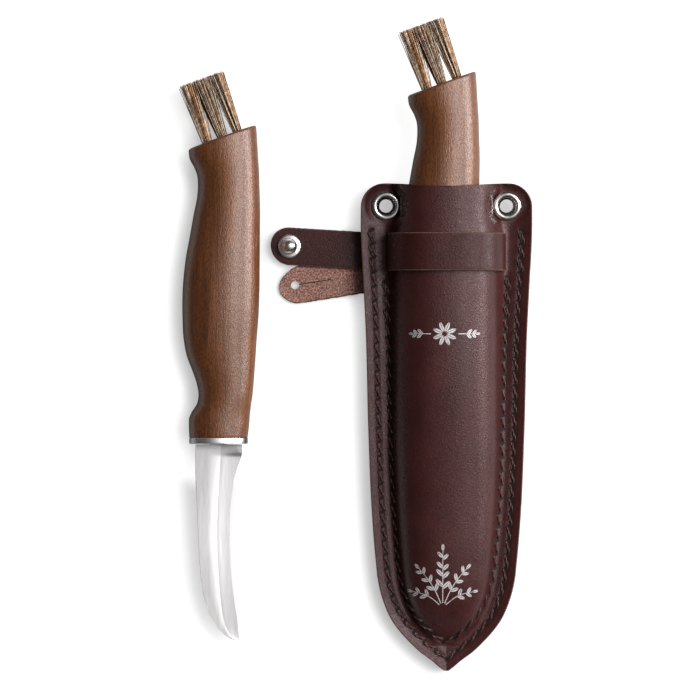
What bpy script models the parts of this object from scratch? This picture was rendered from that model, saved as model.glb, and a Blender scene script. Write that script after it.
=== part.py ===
"""A mushroom knife with a bristle brush in its butt, shown twice: bare, and in its leather sheath.

Both lie flat on a table, +Z up. The bare knife is on the left and the moulded sheath, which
holds the second knife, on the right. +Y runs from the blades' tips to the brushes. Metres.
"""

import math

import bmesh
import bpy
from mathutils import Matrix, Vector

# Clearances that every fit uses
FIT_GAP = 0.0003
CUT_OVERRUN = 0.002
TURN = 2 * math.pi
SHARP_ANGLE = math.radians(35)

# Blade: a curved blade, ground on its concave right side, on a stick tang
BLADE_LENGTH = 0.0696
BLADE_WIDTH = 0.0163
BLADE_THICKNESS = 0.0020
BLADE_EDGE_THICKNESS = 0.0002
BLADE_TIP_THICKNESS = 0.0008
BLADE_TAPER_START_SHARE = 0.55
HEEL_FLAT = 0.0029
PLUNGE_LENGTH = 0.0010
TANG_LENGTH = 0.066
TANG_WIDTH = 0.0060
TANG_THICKNESS = 0.0016
BLADE_STATIONS = 30
# along the blade, then spine, grind line and edge across it
BLADE_OUTLINE_SHARES = (
    (0.000, -0.485, 0.055, 0.509),
    (0.040, -0.491, 0.055, 0.509),
    (0.060, -0.491, 0.052, 0.495),
    (0.095, -0.491, 0.043, 0.442),
    (0.165, -0.486, 0.021, 0.350),
    (0.262, -0.469, 0.000, 0.282),
    (0.388, -0.445, -0.025, 0.245),
    (0.494, -0.423, -0.028, 0.245),
    (0.600, -0.399, -0.006, 0.264),
    (0.692, -0.359, 0.018, 0.294),
    (0.798, -0.270, 0.061, 0.350),
    (0.880, -0.135, 0.117, 0.405),
    (0.930, 0.012, 0.196, 0.426),
    (0.966, 0.184, 0.300, 0.439),
    (0.985, 0.337, 0.380, 0.442),
    (1.000, 0.434, 0.438, 0.442),
)

# Ferrule: an oval plate between the blade's shoulders and the handle
FERRULE_THICKNESS = 0.0022
FERRULE_ROUND = 0.0004

# Handle: lofted wood, scooped for the finger and below the butt
HANDLE_LENGTH = 0.1038
HANDLE_WIDTH = 0.0271
HANDLE_DEPTH = 0.0180
BUTT_TILT = math.radians(20.0)
BUTT_ROUND = 0.0009
HANDLE_EXPONENT = 2.15
HANDLE_SIDES = 24
HANDLE_STATIONS = 34
BUTT_ROUND_STEPS = 3
# along the axis, then left and right across, depth, and how far the section has tilted
HANDLE_SECTION_SHARES = (
    (0.000, -0.373, 0.380, 0.860, 0.00),
    (0.043, -0.378, 0.399, 0.865, 0.00),
    (0.062, -0.376, 0.404, 0.868, 0.00),
    (0.080, -0.347, 0.410, 0.868, 0.00),
    (0.110, -0.275, 0.424, 0.862, 0.00),
    (0.135, -0.255, 0.439, 0.865, 0.00),
    (0.175, -0.275, 0.454, 0.880, 0.00),
    (0.220, -0.332, 0.467, 0.910, 0.00),
    (0.268, -0.402, 0.480, 0.940, 0.00),
    (0.322, -0.443, 0.493, 0.970, 0.00),
    (0.403, -0.461, 0.518, 0.995, 0.00),
    (0.493, -0.458, 0.530, 1.000, 0.00),
    (0.600, -0.417, 0.533, 0.990, 0.00),
    (0.671, -0.369, 0.535, 0.970, 0.08),
    (0.752, -0.317, 0.539, 0.945, 0.25),
    (0.818, -0.271, 0.530, 0.925, 0.43),
    (0.857, -0.262, 0.526, 0.920, 0.52),
    (0.891, -0.271, 0.517, 0.920, 0.63),
    (0.920, -0.303, 0.509, 0.925, 0.73),
    (0.964, -0.369, 0.498, 0.938, 0.88),
    (1.000, -0.384, 0.487, 0.945, 1.00),
)

# Brush: six tufts of natural bristle, each on a plug in its own blind hole
TUFT_COLUMNS = 3
TUFT_ROWS = 2
TUFT_PITCH = 0.0057
TUFT_PLUG_RADIUS = 0.00135
TUFT_PLUG_LENGTH = 0.0050
TUFT_PLUG_SIDES = 10
BRISTLES_PER_TUFT = 34
BRISTLE_LENGTH = 0.0214
BRISTLE_LENGTH_CHANGE = 0.0005
BRISTLE_RADIUS = 0.00013
BRISTLE_ROOT = 0.0004
BRISTLE_SPREAD = 2.1
BRISTLE_SIDES = 3

# Sheath: a back panel, a welt and a moulded front panel in three flat layers
LEATHER_THICKNESS = 0.0017
WELT_THICKNESS = 0.0016
WELT_WIDTH = 0.0084
FLANGE_WIDTH = 0.0119
TIP_ROOM = 0.0282
HANDLE_IN_SHEATH = 0.0721
MOUTH_CORNER_RADIUS = 0.0082
MOUTH_CORNER_STEPS = 5
MOUTH_DIP = 0.0009
MOUTH_DIP_REACH = 0.010
KNIFE_SIDE_SHIFT = 0.00315
KNIFE_SIDE_PLAY = 0.0006
KNIFE_TOP_PLAY = 0.0008
DOME_FILLET = 0.0007
DOME_FILLET_SHARE = 0.3
FOOT_REACH_SHARE = 0.85
DOME_EXPONENT = 3.4
DOME_STEPS = 7
SHEATH_STATIONS = 24
SHEATH_STATION_EXPONENT = 1.5
MOUTH_STEPS = 6
# along the sheath, then half its width
SHEATH_OUTLINE_SHARES = (
    (0.000, 0.027),
    (0.007, 0.081),
    (0.019, 0.160),
    (0.039, 0.313),
    (0.060, 0.438),
    (0.080, 0.542),
    (0.101, 0.630),
    (0.142, 0.737),
    (0.183, 0.798),
    (0.224, 0.825),
    (0.307, 0.865),
    (0.492, 0.912),
    (0.698, 0.943),
    (0.780, 0.966),
    (0.903, 1.000),
    (1.000, 0.997),
)
# along the sheath, then the hollow's half-width and its height over the flange
DOME_SHARES = (
    (0.051, 0.150, 0.004),
    (0.065, 0.230, 0.070),
    (0.080, 0.370, 0.165),
    (0.100, 0.550, 0.300),
    (0.120, 0.640, 0.430),
    (0.141, 0.725, 0.540),
    (0.165, 0.795, 0.610),
    (0.224, 0.880, 0.700),
    (0.350, 0.955, 0.800),
    (0.470, 0.975, 0.890),
    (0.590, 0.985, 0.970),
    (0.760, 0.992, 1.000),
    (1.000, 1.000, 1.000),
)

# Eyelets at the mouth's corners, each set over a washer behind the back panel
EYELET_RADIUS = 0.0043
EYELET_BARREL_RADIUS = 0.0030
EYELET_BORE_RADIUS = 0.0026
EYELET_RIM_HEIGHT = 0.0009
EYELET_LIP_HEIGHT = 0.0006
EYELET_FROM_MOUTH = 0.0079
EYELET_CROWN_SHARE = 0.67
EYELET_SIDES = 20
WASHER_THICKNESS = 0.0005

# Strap: one strip that crosses the front, goes through both slits and leaves at the left edge
STRAP_WIDTH = 0.0132
STRAP_THICKNESS = 0.0016
STRAP_FROM_MOUTH = 0.0241
STRAP_BEND_RADIUS = 0.0014
STRAP_BEND_STEPS = 3
STRAP_ARCH_EXPONENT = 2.9
STRAP_ARCH_STEPS = 22
SLIT_WIDTH = 0.0024
SLIT_MARGIN = 0.0009
HINGE_FROM_EDGE = 0.0024
HINGE_STEPS = 3
STUD_END_TILT = math.radians(3.5)
STUD_END_LENGTH = 0.0291
TONGUE_TILT = math.radians(9.1)
TONGUE_LENGTH = 0.0262
TONGUE_NOSE = 0.0064
STRAP_END_STEPS = 8
KEYHOLE_RADIUS = 0.0014
KEYHOLE_FROM_TIP = 0.0056
KEYHOLE_SLIT_LENGTH = 0.0128
KEYHOLE_SLIT_WIDTH = 0.0006
# back from the tongue's tip, then half its width
TONGUE_NOSE_SHARES = (
    (0.00, 0.06),
    (0.04, 0.24),
    (0.15, 0.44),
    (0.40, 0.68),
    (0.75, 0.91),
    (1.00, 1.00),
)

# Stud: a ball on a neck and a flange, held by a screw from under the strap
STUD_FLANGE_RADIUS = 0.0041
STUD_FLANGE_THICKNESS = 0.0008
STUD_NECK_RADIUS = 0.0016
STUD_NECK_HEIGHT = 0.0009
STUD_BALL_RADIUS = 0.0028
STUD_BALL_SEAT_SHARE = 0.8
STUD_BALL_STEPS = 7
STUD_SIDES = 20
SCREW_RADIUS = 0.0009
SCREW_HEAD_RADIUS = 0.0034
SCREW_HEAD_THICKNESS = 0.0008
SCREW_DEPTH_IN_STUD = 0.0016

# Where the bare knife lies: its ferrule's front face from the sheath's tip
BARE_KNIFE_LEFT_OF_SHEATH = 0.0795
BARE_KNIFE_ABOVE_TIP = 0.0790

# What the sizes above give
SHOULDER_Y = -FIT_GAP
HANDLE_FRONT_Y = FERRULE_THICKNESS + FIT_GAP
BUTT_CENTRE = Vector((0, HANDLE_FRONT_Y + HANDLE_LENGTH, 0))
BUTT_NORMAL = Vector((-math.sin(BUTT_TILT), math.cos(BUTT_TILT), 0))
BUTT_ACROSS = Vector((math.cos(BUTT_TILT), math.sin(BUTT_TILT), 0))
TUFT_HOLE_RADIUS = TUFT_PLUG_RADIUS + FIT_GAP
TUFT_HOLE_DEPTH = TUFT_PLUG_LENGTH + 2 * FIT_GAP

HANDLE_LEFT_REACH = -min(row[1] for row in HANDLE_SECTION_SHARES) * HANDLE_WIDTH
FLANGE_Z = LEATHER_THICKNESS + FIT_GAP + WELT_THICKNESS + FIT_GAP
HOLLOW_HALF_WIDTH = HANDLE_LEFT_REACH + KNIFE_SIDE_SHIFT + KNIFE_SIDE_PLAY
HOLLOW_HEIGHT = LEATHER_THICKNESS + FIT_GAP + HANDLE_DEPTH + KNIFE_TOP_PLAY - FLANGE_Z
KNIFE_PLANE_Z = LEATHER_THICKNESS + FIT_GAP + HANDLE_DEPTH / 2
DOME_HALF_WIDTH = HOLLOW_HALF_WIDTH + LEATHER_THICKNESS
SHEATH_HALF_WIDTH = DOME_HALF_WIDTH + FLANGE_WIDTH
SHEATH_FERRULE_Y = TIP_ROOM + BLADE_LENGTH
SHEATH_LENGTH = SHEATH_FERRULE_Y + HANDLE_IN_SHEATH
SHEATH_SIDE_LENGTH = SHEATH_LENGTH - MOUTH_CORNER_RADIUS

EYELET_X = DOME_HALF_WIDTH + DOME_FILLET + EYELET_RADIUS
EYELET_Y = SHEATH_LENGTH - EYELET_FROM_MOUTH
EYELET_HOLE_RADIUS = EYELET_BARREL_RADIUS + FIT_GAP

STRAP_Y = SHEATH_LENGTH - STRAP_FROM_MOUTH
SLIT_X = DOME_HALF_WIDTH + DOME_FILLET + SLIT_MARGIN + SLIT_WIDTH / 2
TONGUE_Z = STRAP_THICKNESS / 2
STUD_END_Z = TONGUE_Z + STRAP_THICKNESS + FIT_GAP
STACK_HEIGHT = STUD_END_Z + STRAP_THICKNESS / 2 + FIT_GAP
SHEATH_PITCH = math.atan2(STACK_HEIGHT, STRAP_Y - STRAP_WIDTH / 2)
STRAP_LEVEL_Y = STRAP_Y * math.cos(SHEATH_PITCH)
HINGE_X = -(SHEATH_HALF_WIDTH + HINGE_FROM_EDGE)
STRAP_FIXED_END_X = HINGE_X + STRAP_THICKNESS / 2 + FIT_GAP

# Colour, roughness and metallic value of each material
FINISHES = {
    "walnut": ((0.085, 0.030, 0.014), 0.42, 0.0),
    "blade_steel": ((0.80, 0.79, 0.78), 0.28, 1.0),
    "ferrule_metal": ((0.56, 0.55, 0.56), 0.35, 1.0),
    "bristle": ((0.32, 0.21, 0.13), 0.60, 0.0),
    "leather": ((0.045, 0.013, 0.012), 0.38, 0.0),
    "leather_core": ((0.16, 0.07, 0.05), 0.75, 0.0),
    "suede": ((0.25, 0.10, 0.075), 0.95, 0.0),
    "nickel": ((0.72, 0.70, 0.69), 0.18, 1.0),
}


def clear_scene():
    for thing in list(bpy.data.objects):
        bpy.data.objects.remove(thing, do_unlink=True)


def finish_material(name):
    """The Principled material of that name, made on its first use."""
    found = bpy.data.materials.get(name)
    if found:
        return found
    colour, roughness, metallic = FINISHES[name]
    made = bpy.data.materials.new(name)
    made.use_nodes = True
    shader = made.node_tree.nodes["Principled BSDF"]
    shader.inputs["Base Color"].default_value = (*colour, 1)
    shader.inputs["Roughness"].default_value = roughness
    shader.inputs["Metallic"].default_value = metallic
    return made


def add_empty(name, location=(0, 0, 0), rotation=(0, 0, 0), parent=None):
    empty = bpy.data.objects.new(name, None)
    empty.location = location
    empty.rotation_euler = rotation
    empty.parent = parent
    bpy.context.collection.objects.link(empty)
    return empty


def add_object(name, mesh, finish, parent=None, location=(0, 0, 0), rotation=(0, 0, 0)):
    piece = bpy.data.objects.new(name, mesh)
    piece.location = location
    piece.rotation_euler = rotation
    piece.parent = parent
    if not mesh.materials:
        mesh.materials.append(finish_material(finish))
    bpy.context.collection.objects.link(piece)
    return piece


def mesh_from(shape, name, smooth=True):
    """A mesh from a bmesh, faces out, with its hard edges kept sharp."""
    bmesh.ops.recalc_face_normals(shape, faces=shape.faces)
    mesh = bpy.data.meshes.new(name)
    shape.to_mesh(mesh)
    shape.free()
    if smooth:
        mesh.shade_smooth()
        mesh.set_sharp_from_angle(angle=SHARP_ANGLE)
    return mesh


def add_cutter(name, mesh, parent=None, location=(0, 0, 0), rotation=(0, 0, 0)):
    """A closed shape, or several that lie apart, to cut other pieces with."""
    cutter = bpy.data.objects.new(name, mesh)
    cutter.location = location
    cutter.rotation_euler = rotation
    cutter.parent = parent
    cutter.hide_render = True
    cutter.display_type = "WIRE"
    bpy.context.collection.objects.link(cutter)
    return cutter


def cut(piece, cutter):
    difference = piece.modifiers.new(cutter.name, "BOOLEAN")
    difference.operation = "DIFFERENCE"
    difference.solver = "EXACT"
    difference.object = cutter


def table_value(rows, at):
    """A row of a table of shares at any place along its first column, on a smooth curve."""
    last = len(rows) - 1
    index = 0
    while index < last - 1 and at > rows[index + 1][0]:
        index += 1
    start, end = rows[index], rows[index + 1]
    span = end[0] - start[0]
    t = min(max((at - start[0]) / span, 0), 1)

    def slope(i, column):
        before, here, after = rows[max(i - 1, 0)], rows[i], rows[min(i + 1, last)]
        if i == 0:
            return (after[column] - here[column]) / (after[0] - here[0])
        if i == last:
            return (here[column] - before[column]) / (here[0] - before[0])
        left_span, right_span = here[0] - before[0], after[0] - here[0]
        left = (here[column] - before[column]) / left_span
        right = (after[column] - here[column]) / right_span
        return (left * right_span + right * left_span) / (left_span + right_span)

    row = []
    for column in range(1, len(start)):
        a, b = start[column], end[column]
        slope_a, slope_b = slope(index, column) * span, slope(index + 1, column) * span
        square, cube = t * t, t * t * t
        row.append(
            a * (2 * cube - 3 * square + 1)
            + slope_a * (cube - 2 * square + t)
            + b * (3 * square - 2 * cube)
            + slope_b * (cube - square)
        )
    return row


def powered(value, exponent):
    return math.copysign(abs(value) ** exponent, value)


def superellipse(half_width, half_depth, exponent, sides):
    """Points round a superellipse, as (across, up) pairs."""
    points = []
    for i in range(sides):
        angle = TURN * i / sides
        across = half_width * powered(math.cos(angle), 2 / exponent)
        up = half_depth * powered(math.sin(angle), 2 / exponent)
        points.append((across, up))
    return points


def loft(rings, shape=None):
    """A closed body through rings of equally many points, capped at both ends."""
    shape = shape or bmesh.new()
    placed = [[shape.verts.new(point) for point in ring] for ring in rings]
    for low, high in zip(placed, placed[1:]):
        for i in range(len(low)):
            j = (i + 1) % len(low)
            shape.faces.new((low[i], low[j], high[j], high[i]))
    shape.faces.new(placed[0][::-1])
    shape.faces.new(placed[-1])
    return shape


def revolve(profile, sides, shape=None):
    """A closed body turned about Z from a closed profile of (radius, height) points.

    A profile that starts and ends on the axis is closed there by a single point.
    """
    shape = shape or bmesh.new()
    columns = []
    for radius, height in profile:
        if radius == 0:
            columns.append([shape.verts.new((0, 0, height))] * sides)
            continue
        ring = []
        for i in range(sides):
            angle = TURN * i / sides
            point = (radius * math.cos(angle), radius * math.sin(angle), height)
            ring.append(shape.verts.new(point))
        columns.append(ring)
    pairs = list(zip(columns, columns[1:]))
    if profile[0][0] > 0:
        pairs.append((columns[-1], columns[0]))
    for low, high in pairs:
        for i in range(sides):
            j = (i + 1) % sides
            corners = []
            for corner in (low[i], low[j], high[j], high[i]):
                if corner not in corners:
                    corners.append(corner)
            if len(corners) > 2:
                shape.faces.new(corners)
    return shape


def add_box(shape, low, high):
    """A box between two corners, added to a shape."""
    made = bmesh.ops.create_cube(shape, size=1)["verts"]
    size = Vector(high) - Vector(low)
    centre = (Vector(high) + Vector(low)) / 2
    bmesh.ops.transform(
        shape, matrix=Matrix.Translation(centre) @ Matrix.Diagonal((*size, 1)), verts=made
    )
    return shape


def add_rod(shape, start, end, radius, sides):
    """A straight round rod between two points, added to a shape."""
    axis = Vector(end) - Vector(start)
    made = bmesh.ops.create_cone(
        shape,
        cap_ends=True,
        segments=sides,
        radius1=radius,
        radius2=radius,
        depth=axis.length,
    )["verts"]
    turn = Vector((0, 0, 1)).rotation_difference(axis).to_matrix().to_4x4()
    middle = Matrix.Translation((Vector(start) + Vector(end)) / 2)
    bmesh.ops.transform(shape, matrix=middle @ turn, verts=made)
    return shape


# Knife, in its own frame: the ferrule's front face at the origin, +Y to the butt


def blade_mesh():
    """Tang, shoulders, flat heel, plunge and ground bevel, down to the tip."""

    def ring(y, spine, grind, edge, thickness, edge_thickness):
        up, low = thickness / 2, edge_thickness / 2
        return [
            (spine, y, up),
            (grind, y, up),
            (edge, y, low),
            (edge, y, -low),
            (grind, y, -up),
            (spine, y, -up),
        ]

    half = TANG_WIDTH / 2
    rings = [
        ring(TANG_LENGTH, -half / 2, 0, half / 2, TANG_THICKNESS, TANG_THICKNESS),
        ring(TANG_LENGTH - half, -half, 0, half, TANG_THICKNESS, TANG_THICKNESS),
        ring(SHOULDER_Y, -half, 0, half, TANG_THICKNESS, TANG_THICKNESS),
    ]
    flat_share = HEEL_FLAT / BLADE_LENGTH
    ground_share = (HEEL_FLAT + PLUNGE_LENGTH) / BLADE_LENGTH
    places = [0, flat_share, ground_share]
    for i in range(1, BLADE_STATIONS + 1):
        t = i / BLADE_STATIONS
        places.append(ground_share + (1 - ground_share) * math.sin(t * TURN / 4))
    for share in places:
        row = table_value(BLADE_OUTLINE_SHARES, share)
        spine, grind, edge = (value * BLADE_WIDTH for value in row)
        taper = max(0, (share - BLADE_TAPER_START_SHARE) / (1 - BLADE_TAPER_START_SHARE))
        thickness = BLADE_THICKNESS + (BLADE_TIP_THICKNESS - BLADE_THICKNESS) * taper
        edge_thickness = BLADE_THICKNESS if share <= flat_share else BLADE_EDGE_THICKNESS
        y = SHOULDER_Y - share * (BLADE_LENGTH - FIT_GAP)
        rings.append(ring(y, spine, grind, edge, thickness, edge_thickness))
    return mesh_from(loft(rings), "blade", smooth=False)


def handle_section(share):
    """Middle, half-width, half-depth and tilt of the handle's section at a share of its axis."""
    left, right, depth, tilt = table_value(HANDLE_SECTION_SHARES, share)
    middle = (left + right) / 2 * HANDLE_WIDTH
    half_width = (right - left) / 2 * HANDLE_WIDTH
    return middle, half_width, depth * HANDLE_DEPTH / 2, tilt * BUTT_TILT


def handle_ring(share, inset=0, back=0):
    """The handle's section in its tilted plane, drawn in by inset and moved back."""
    middle, half_width, half_depth, tilt = handle_section(share)
    y = HANDLE_FRONT_Y + share * HANDLE_LENGTH - back / math.cos(tilt)
    points = []
    outline = superellipse(half_width - inset, half_depth - inset, HANDLE_EXPONENT, HANDLE_SIDES)
    for across, up in outline:
        x = middle + across
        points.append((x, y + x * math.tan(tilt), up))
    return points


def handle_mesh():
    round_share = BUTT_ROUND / math.cos(BUTT_TILT) / HANDLE_LENGTH
    rings = []
    for i in range(HANDLE_STATIONS):
        rings.append(handle_ring((1 - round_share) * i / (HANDLE_STATIONS - 1)))
    for i in range(1, BUTT_ROUND_STEPS + 1):
        angle = TURN / 4 * i / BUTT_ROUND_STEPS
        inset = BUTT_ROUND * (1 - math.cos(angle))
        rings.append(handle_ring(1, inset, BUTT_ROUND * (1 - math.sin(angle))))
    return mesh_from(loft(rings), "handle")


def tuft_places():
    """Where the tufts' holes open on the butt: two rows of three."""
    middle = handle_section(1)[0] / math.cos(BUTT_TILT)
    places = []
    for row in range(TUFT_ROWS):
        for column in range(TUFT_COLUMNS):
            across = middle + (column - (TUFT_COLUMNS - 1) / 2) * TUFT_PITCH
            up = (row - (TUFT_ROWS - 1) / 2) * TUFT_PITCH
            places.append(BUTT_CENTRE + BUTT_ACROSS * across + Vector((0, 0, up)))
    return places


def handle_hollows_mesh():
    """The tang's slot and the tufts' blind holes."""
    shape = bmesh.new()
    half_width = TANG_WIDTH / 2 + FIT_GAP
    half_depth = TANG_THICKNESS / 2 + FIT_GAP
    add_box(
        shape,
        (-half_width, HANDLE_FRONT_Y - CUT_OVERRUN, -half_depth),
        (half_width, TANG_LENGTH + FIT_GAP, half_depth),
    )
    for place in tuft_places():
        bottom = place - BUTT_NORMAL * TUFT_HOLE_DEPTH
        add_rod(
            shape, bottom, place + BUTT_NORMAL * CUT_OVERRUN, TUFT_HOLE_RADIUS, TUFT_PLUG_SIDES
        )
    return mesh_from(shape, "handle_hollows", smooth=False)


def ferrule_mesh():
    """An oval plate with eased edges, flush with the handle's front."""
    middle, half_width, half_depth, _ = handle_section(0)
    rings = []
    for y, inset in ((0, FERRULE_ROUND), (FERRULE_ROUND, 0), (FERRULE_THICKNESS, 0)):
        wide, deep = half_width - inset, half_depth - inset
        outline = superellipse(wide, deep, HANDLE_EXPONENT, HANDLE_SIDES)
        rings.append([(middle + across, y, up) for across, up in outline])
    return mesh_from(loft(rings), "ferrule")


def ferrule_slot_mesh():
    half_width = TANG_WIDTH / 2 + FIT_GAP
    half_depth = TANG_THICKNESS / 2 + FIT_GAP
    low = (-half_width, -CUT_OVERRUN, -half_depth)
    high = (half_width, FERRULE_THICKNESS + CUT_OVERRUN, half_depth)
    return mesh_from(add_box(bmesh.new(), low, high), "ferrule_slot", smooth=False)


def tuft_mesh():
    """Straight bristles that spread from a plug, as one body; +Z along the tuft, mouth at 0."""
    plug = bmesh.new()
    bottom = (0, 0, -TUFT_PLUG_LENGTH - FIT_GAP)
    add_rod(plug, bottom, (0, 0, -FIT_GAP), TUFT_PLUG_RADIUS, TUFT_PLUG_SIDES)
    strands = bmesh.new()
    golden = TURN * (3 - math.sqrt(5)) / 2
    root_reach = TUFT_PLUG_RADIUS - 2 * BRISTLE_RADIUS
    for i in range(BRISTLES_PER_TUFT):
        reach = root_reach * math.sqrt((2 * i + 1) / (2 * BRISTLES_PER_TUFT))
        angle = golden * i
        root = Vector((reach * math.cos(angle), reach * math.sin(angle), 0))
        top = root * BRISTLE_SPREAD
        root.z = -BRISTLE_ROOT - FIT_GAP
        top.z = BRISTLE_LENGTH + BRISTLE_LENGTH_CHANGE * math.sin(angle * 2 + i)
        rings = []
        for centre in (root, top):
            ring = []
            for side in range(BRISTLE_SIDES):
                turn = angle + TURN * side / BRISTLE_SIDES
                offset = Vector((math.cos(turn), math.sin(turn), 0)) * BRISTLE_RADIUS
                ring.append(centre + offset)
            rings.append(ring)
        loft(rings, strands)
    plug_piece = bpy.data.objects.new("tuft_plug", mesh_from(plug, "tuft_plug", smooth=False))
    strand_piece = bpy.data.objects.new("strands", mesh_from(strands, "strands", smooth=False))
    for piece in (plug_piece, strand_piece):
        bpy.context.collection.objects.link(piece)
    union = plug_piece.modifiers.new("strands", "BOOLEAN")
    union.operation = "UNION"
    union.solver = "EXACT"
    union.object = strand_piece
    evaluated = plug_piece.evaluated_get(bpy.context.evaluated_depsgraph_get())
    mesh = bpy.data.meshes.new_from_object(evaluated)
    mesh.name = "tuft"
    for piece in (plug_piece, strand_piece):
        bpy.data.objects.remove(piece, do_unlink=True)
    return mesh


def build_knife(prefix, parent, location, tuft):
    """One whole knife, its pieces named with a prefix, on an empty at its ferrule."""
    knife = add_empty(prefix + "_knife", location, parent=parent)
    add_object(prefix + "_blade", blade_mesh(), "blade_steel", knife)
    ferrule = add_object(prefix + "_ferrule", ferrule_mesh(), "ferrule_metal", knife)
    cut(ferrule, add_cutter(prefix + "_ferrule_slot", ferrule_slot_mesh(), knife))
    handle = add_object(prefix + "_handle", handle_mesh(), "walnut", knife)
    cut(handle, add_cutter(prefix + "_handle_hollows", handle_hollows_mesh(), knife))
    lean = Vector((0, 0, 1)).rotation_difference(BUTT_NORMAL).to_euler()
    for number, place in enumerate(tuft_places(), 1):
        add_object(f"{prefix}_tuft_{number}", tuft, "bristle", knife, place, lean)
    return knife


# Sheath, in its own frame: the tip at the origin, +Y to the mouth, the back's underside at 0


def sheath_rows():
    """Rows of the sheath from tip to mouth, as (y, half-width), with round mouth corners."""
    rows = []
    for i in range(SHEATH_STATIONS + 1):
        y = SHEATH_SIDE_LENGTH * (i / SHEATH_STATIONS) ** SHEATH_STATION_EXPONENT
        half_width = table_value(SHEATH_OUTLINE_SHARES, y / SHEATH_LENGTH)[0]
        rows.append((y, half_width * SHEATH_HALF_WIDTH))
    side_half_width = rows[-1][1]
    for i in range(1, MOUTH_CORNER_STEPS + 1):
        angle = TURN / 4 * i / MOUTH_CORNER_STEPS
        rows.append((
            SHEATH_SIDE_LENGTH + MOUTH_CORNER_RADIUS * math.sin(angle),
            side_half_width - MOUTH_CORNER_RADIUS * (1 - math.cos(angle)),
        ))
    return rows


def dipped(x, y, half_width):
    """y lowered near the mouth, most at the middle."""
    near = max(0, 1 - (SHEATH_LENGTH - y) / MOUTH_DIP_REACH)
    return y - MOUTH_DIP * near * math.cos(TURN / 4 * x / half_width) ** 2


def dome_at(y):
    """The hollow's half-width and its height over the flange at a place along the sheath."""
    first = DOME_SHARES[0][0]
    width, height = table_value(DOME_SHARES, max(y / SHEATH_LENGTH, first))
    return width * HOLLOW_HALF_WIDTH, height * HOLLOW_HEIGHT


def front_section(half_width, half_hollow, height):
    """One half of the front panel's section, edge to middle: pairs of outer and inner points."""
    top = FLANGE_Z + LEATHER_THICKNESS
    half_dome = half_hollow + LEATHER_THICKNESS
    fillet = min(DOME_FILLET, height * DOME_FILLET_SHARE)
    start = math.asin(min(1, fillet / height) ** (DOME_EXPONENT / 2))
    pairs = [
        ((half_width, top), (half_width, FLANGE_Z)),
        ((half_dome + fillet, top), (half_dome, FLANGE_Z)),
    ]
    for i in range(DOME_STEPS + 1):
        angle = start + (TURN / 4 - start) * i / DOME_STEPS
        across = max(math.cos(angle), 0) ** (2 / DOME_EXPONENT)
        up = height * math.sin(angle) ** (2 / DOME_EXPONENT)
        inner_up = 0 if i == 0 else up
        inner_across = 1 if i == 0 else across
        pairs.append((
            (half_dome * across, top + up),
            (half_hollow * inner_across, FLANGE_Z + inner_up),
        ))
    return pairs


def front_panel_mesh():
    """The moulded front: a flat flange round a dome that runs out towards the tip."""
    shape = bmesh.new()
    outer_rows, inner_rows = [], []
    for y, half_width in sheath_rows():
        half_hollow, height = dome_at(y)
        half = front_section(half_width, half_hollow, height)
        if half[1][0][0] > FOOT_REACH_SHARE * half_width:
            half = drawn_in(half, FOOT_REACH_SHARE * half_width)
        left = [((-outer[0], outer[1]), (-inner[0], inner[1])) for outer, inner in half[:-1]]
        outer_row, inner_row = [], []
        for outer, inner in left + half[::-1]:
            for row, (x, z) in ((outer_row, outer), (inner_row, inner)):
                row.append(shape.verts.new((x, dipped(x, y, half_width), z)))
        outer_rows.append(outer_row)
        inner_rows.append(inner_row)
    skin_faces(shape, outer_rows, inner_rows)
    return mesh_from(shape, "front_panel")


def drawn_in(half, reach):
    """A section near the tip, where the dome's foot would pass the edge, made narrower."""
    share = reach / half[1][0][0]
    pairs = [half[0]]
    for outer, inner in half[1:]:
        pairs.append(((outer[0] * share, outer[1]), (inner[0] * share, inner[1])))
    return pairs


def skin_faces(shape, outer_rows, inner_rows):
    """Faces of a shell between two grids of equally many points."""
    last = len(outer_rows[0]) - 1
    for grid in (outer_rows, inner_rows):
        for low, high in zip(grid, grid[1:]):
            for i in range(last):
                shape.faces.new((low[i], low[i + 1], high[i + 1], high[i]))
    for side in (0, last):
        outer = [row[side] for row in outer_rows]
        inner = [row[side] for row in inner_rows]
        for i in range(len(outer) - 1):
            shape.faces.new((outer[i], outer[i + 1], inner[i + 1], inner[i]))
    for row in (0, -1):
        outer, inner = outer_rows[row], inner_rows[row]
        for i in range(last):
            shape.faces.new((outer[i], outer[i + 1], inner[i + 1], inner[i]))


def plate_mesh(outline, low, high, name):
    """A flat plate of a closed outline between two heights."""
    shape = bmesh.new()
    rings = [[(x, y, z) for x, y in outline] for z in (low, high)]
    loft(rings, shape)
    return mesh_from(shape, name, smooth=False)


def sheath_outline():
    """The whole outline, from the tip up the right side, over the mouth and down the left."""
    rows = sheath_rows()
    right = [(half_width, y) for y, half_width in rows]
    left = [(-half_width, y) for y, half_width in reversed(rows)]
    mouth_y, mouth_half = rows[-1]
    mouth = []
    for i in range(1, MOUTH_STEPS):
        x = mouth_half * (1 - 2 * i / MOUTH_STEPS)
        mouth.append((x, dipped(x, mouth_y, mouth_half)))
    return right + mouth + left


def welt_outline():
    """A band of even width along both sides and round the tip, open at the mouth."""
    rows = sheath_rows()
    right = [(half_width, y) for y, half_width in rows]
    left = [(-half_width, y) for y, half_width in reversed(rows)]
    inner = []
    for y, half_width in rows:
        if half_width > WELT_WIDTH + DOME_FILLET:
            edge = rows[-MOUTH_CORNER_STEPS - 1][1] if y > SHEATH_SIDE_LENGTH else half_width
            inner.append((edge - WELT_WIDTH, y))
    inner_right = [point for point in inner if point[0] < rows[-1][1]]
    apex = (0, inner_right[0][1] - inner_right[0][0])
    inner_left = [(-x, y) for x, y in inner_right]
    return right + inner_right[::-1] + [apex] + inner_left + left


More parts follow.
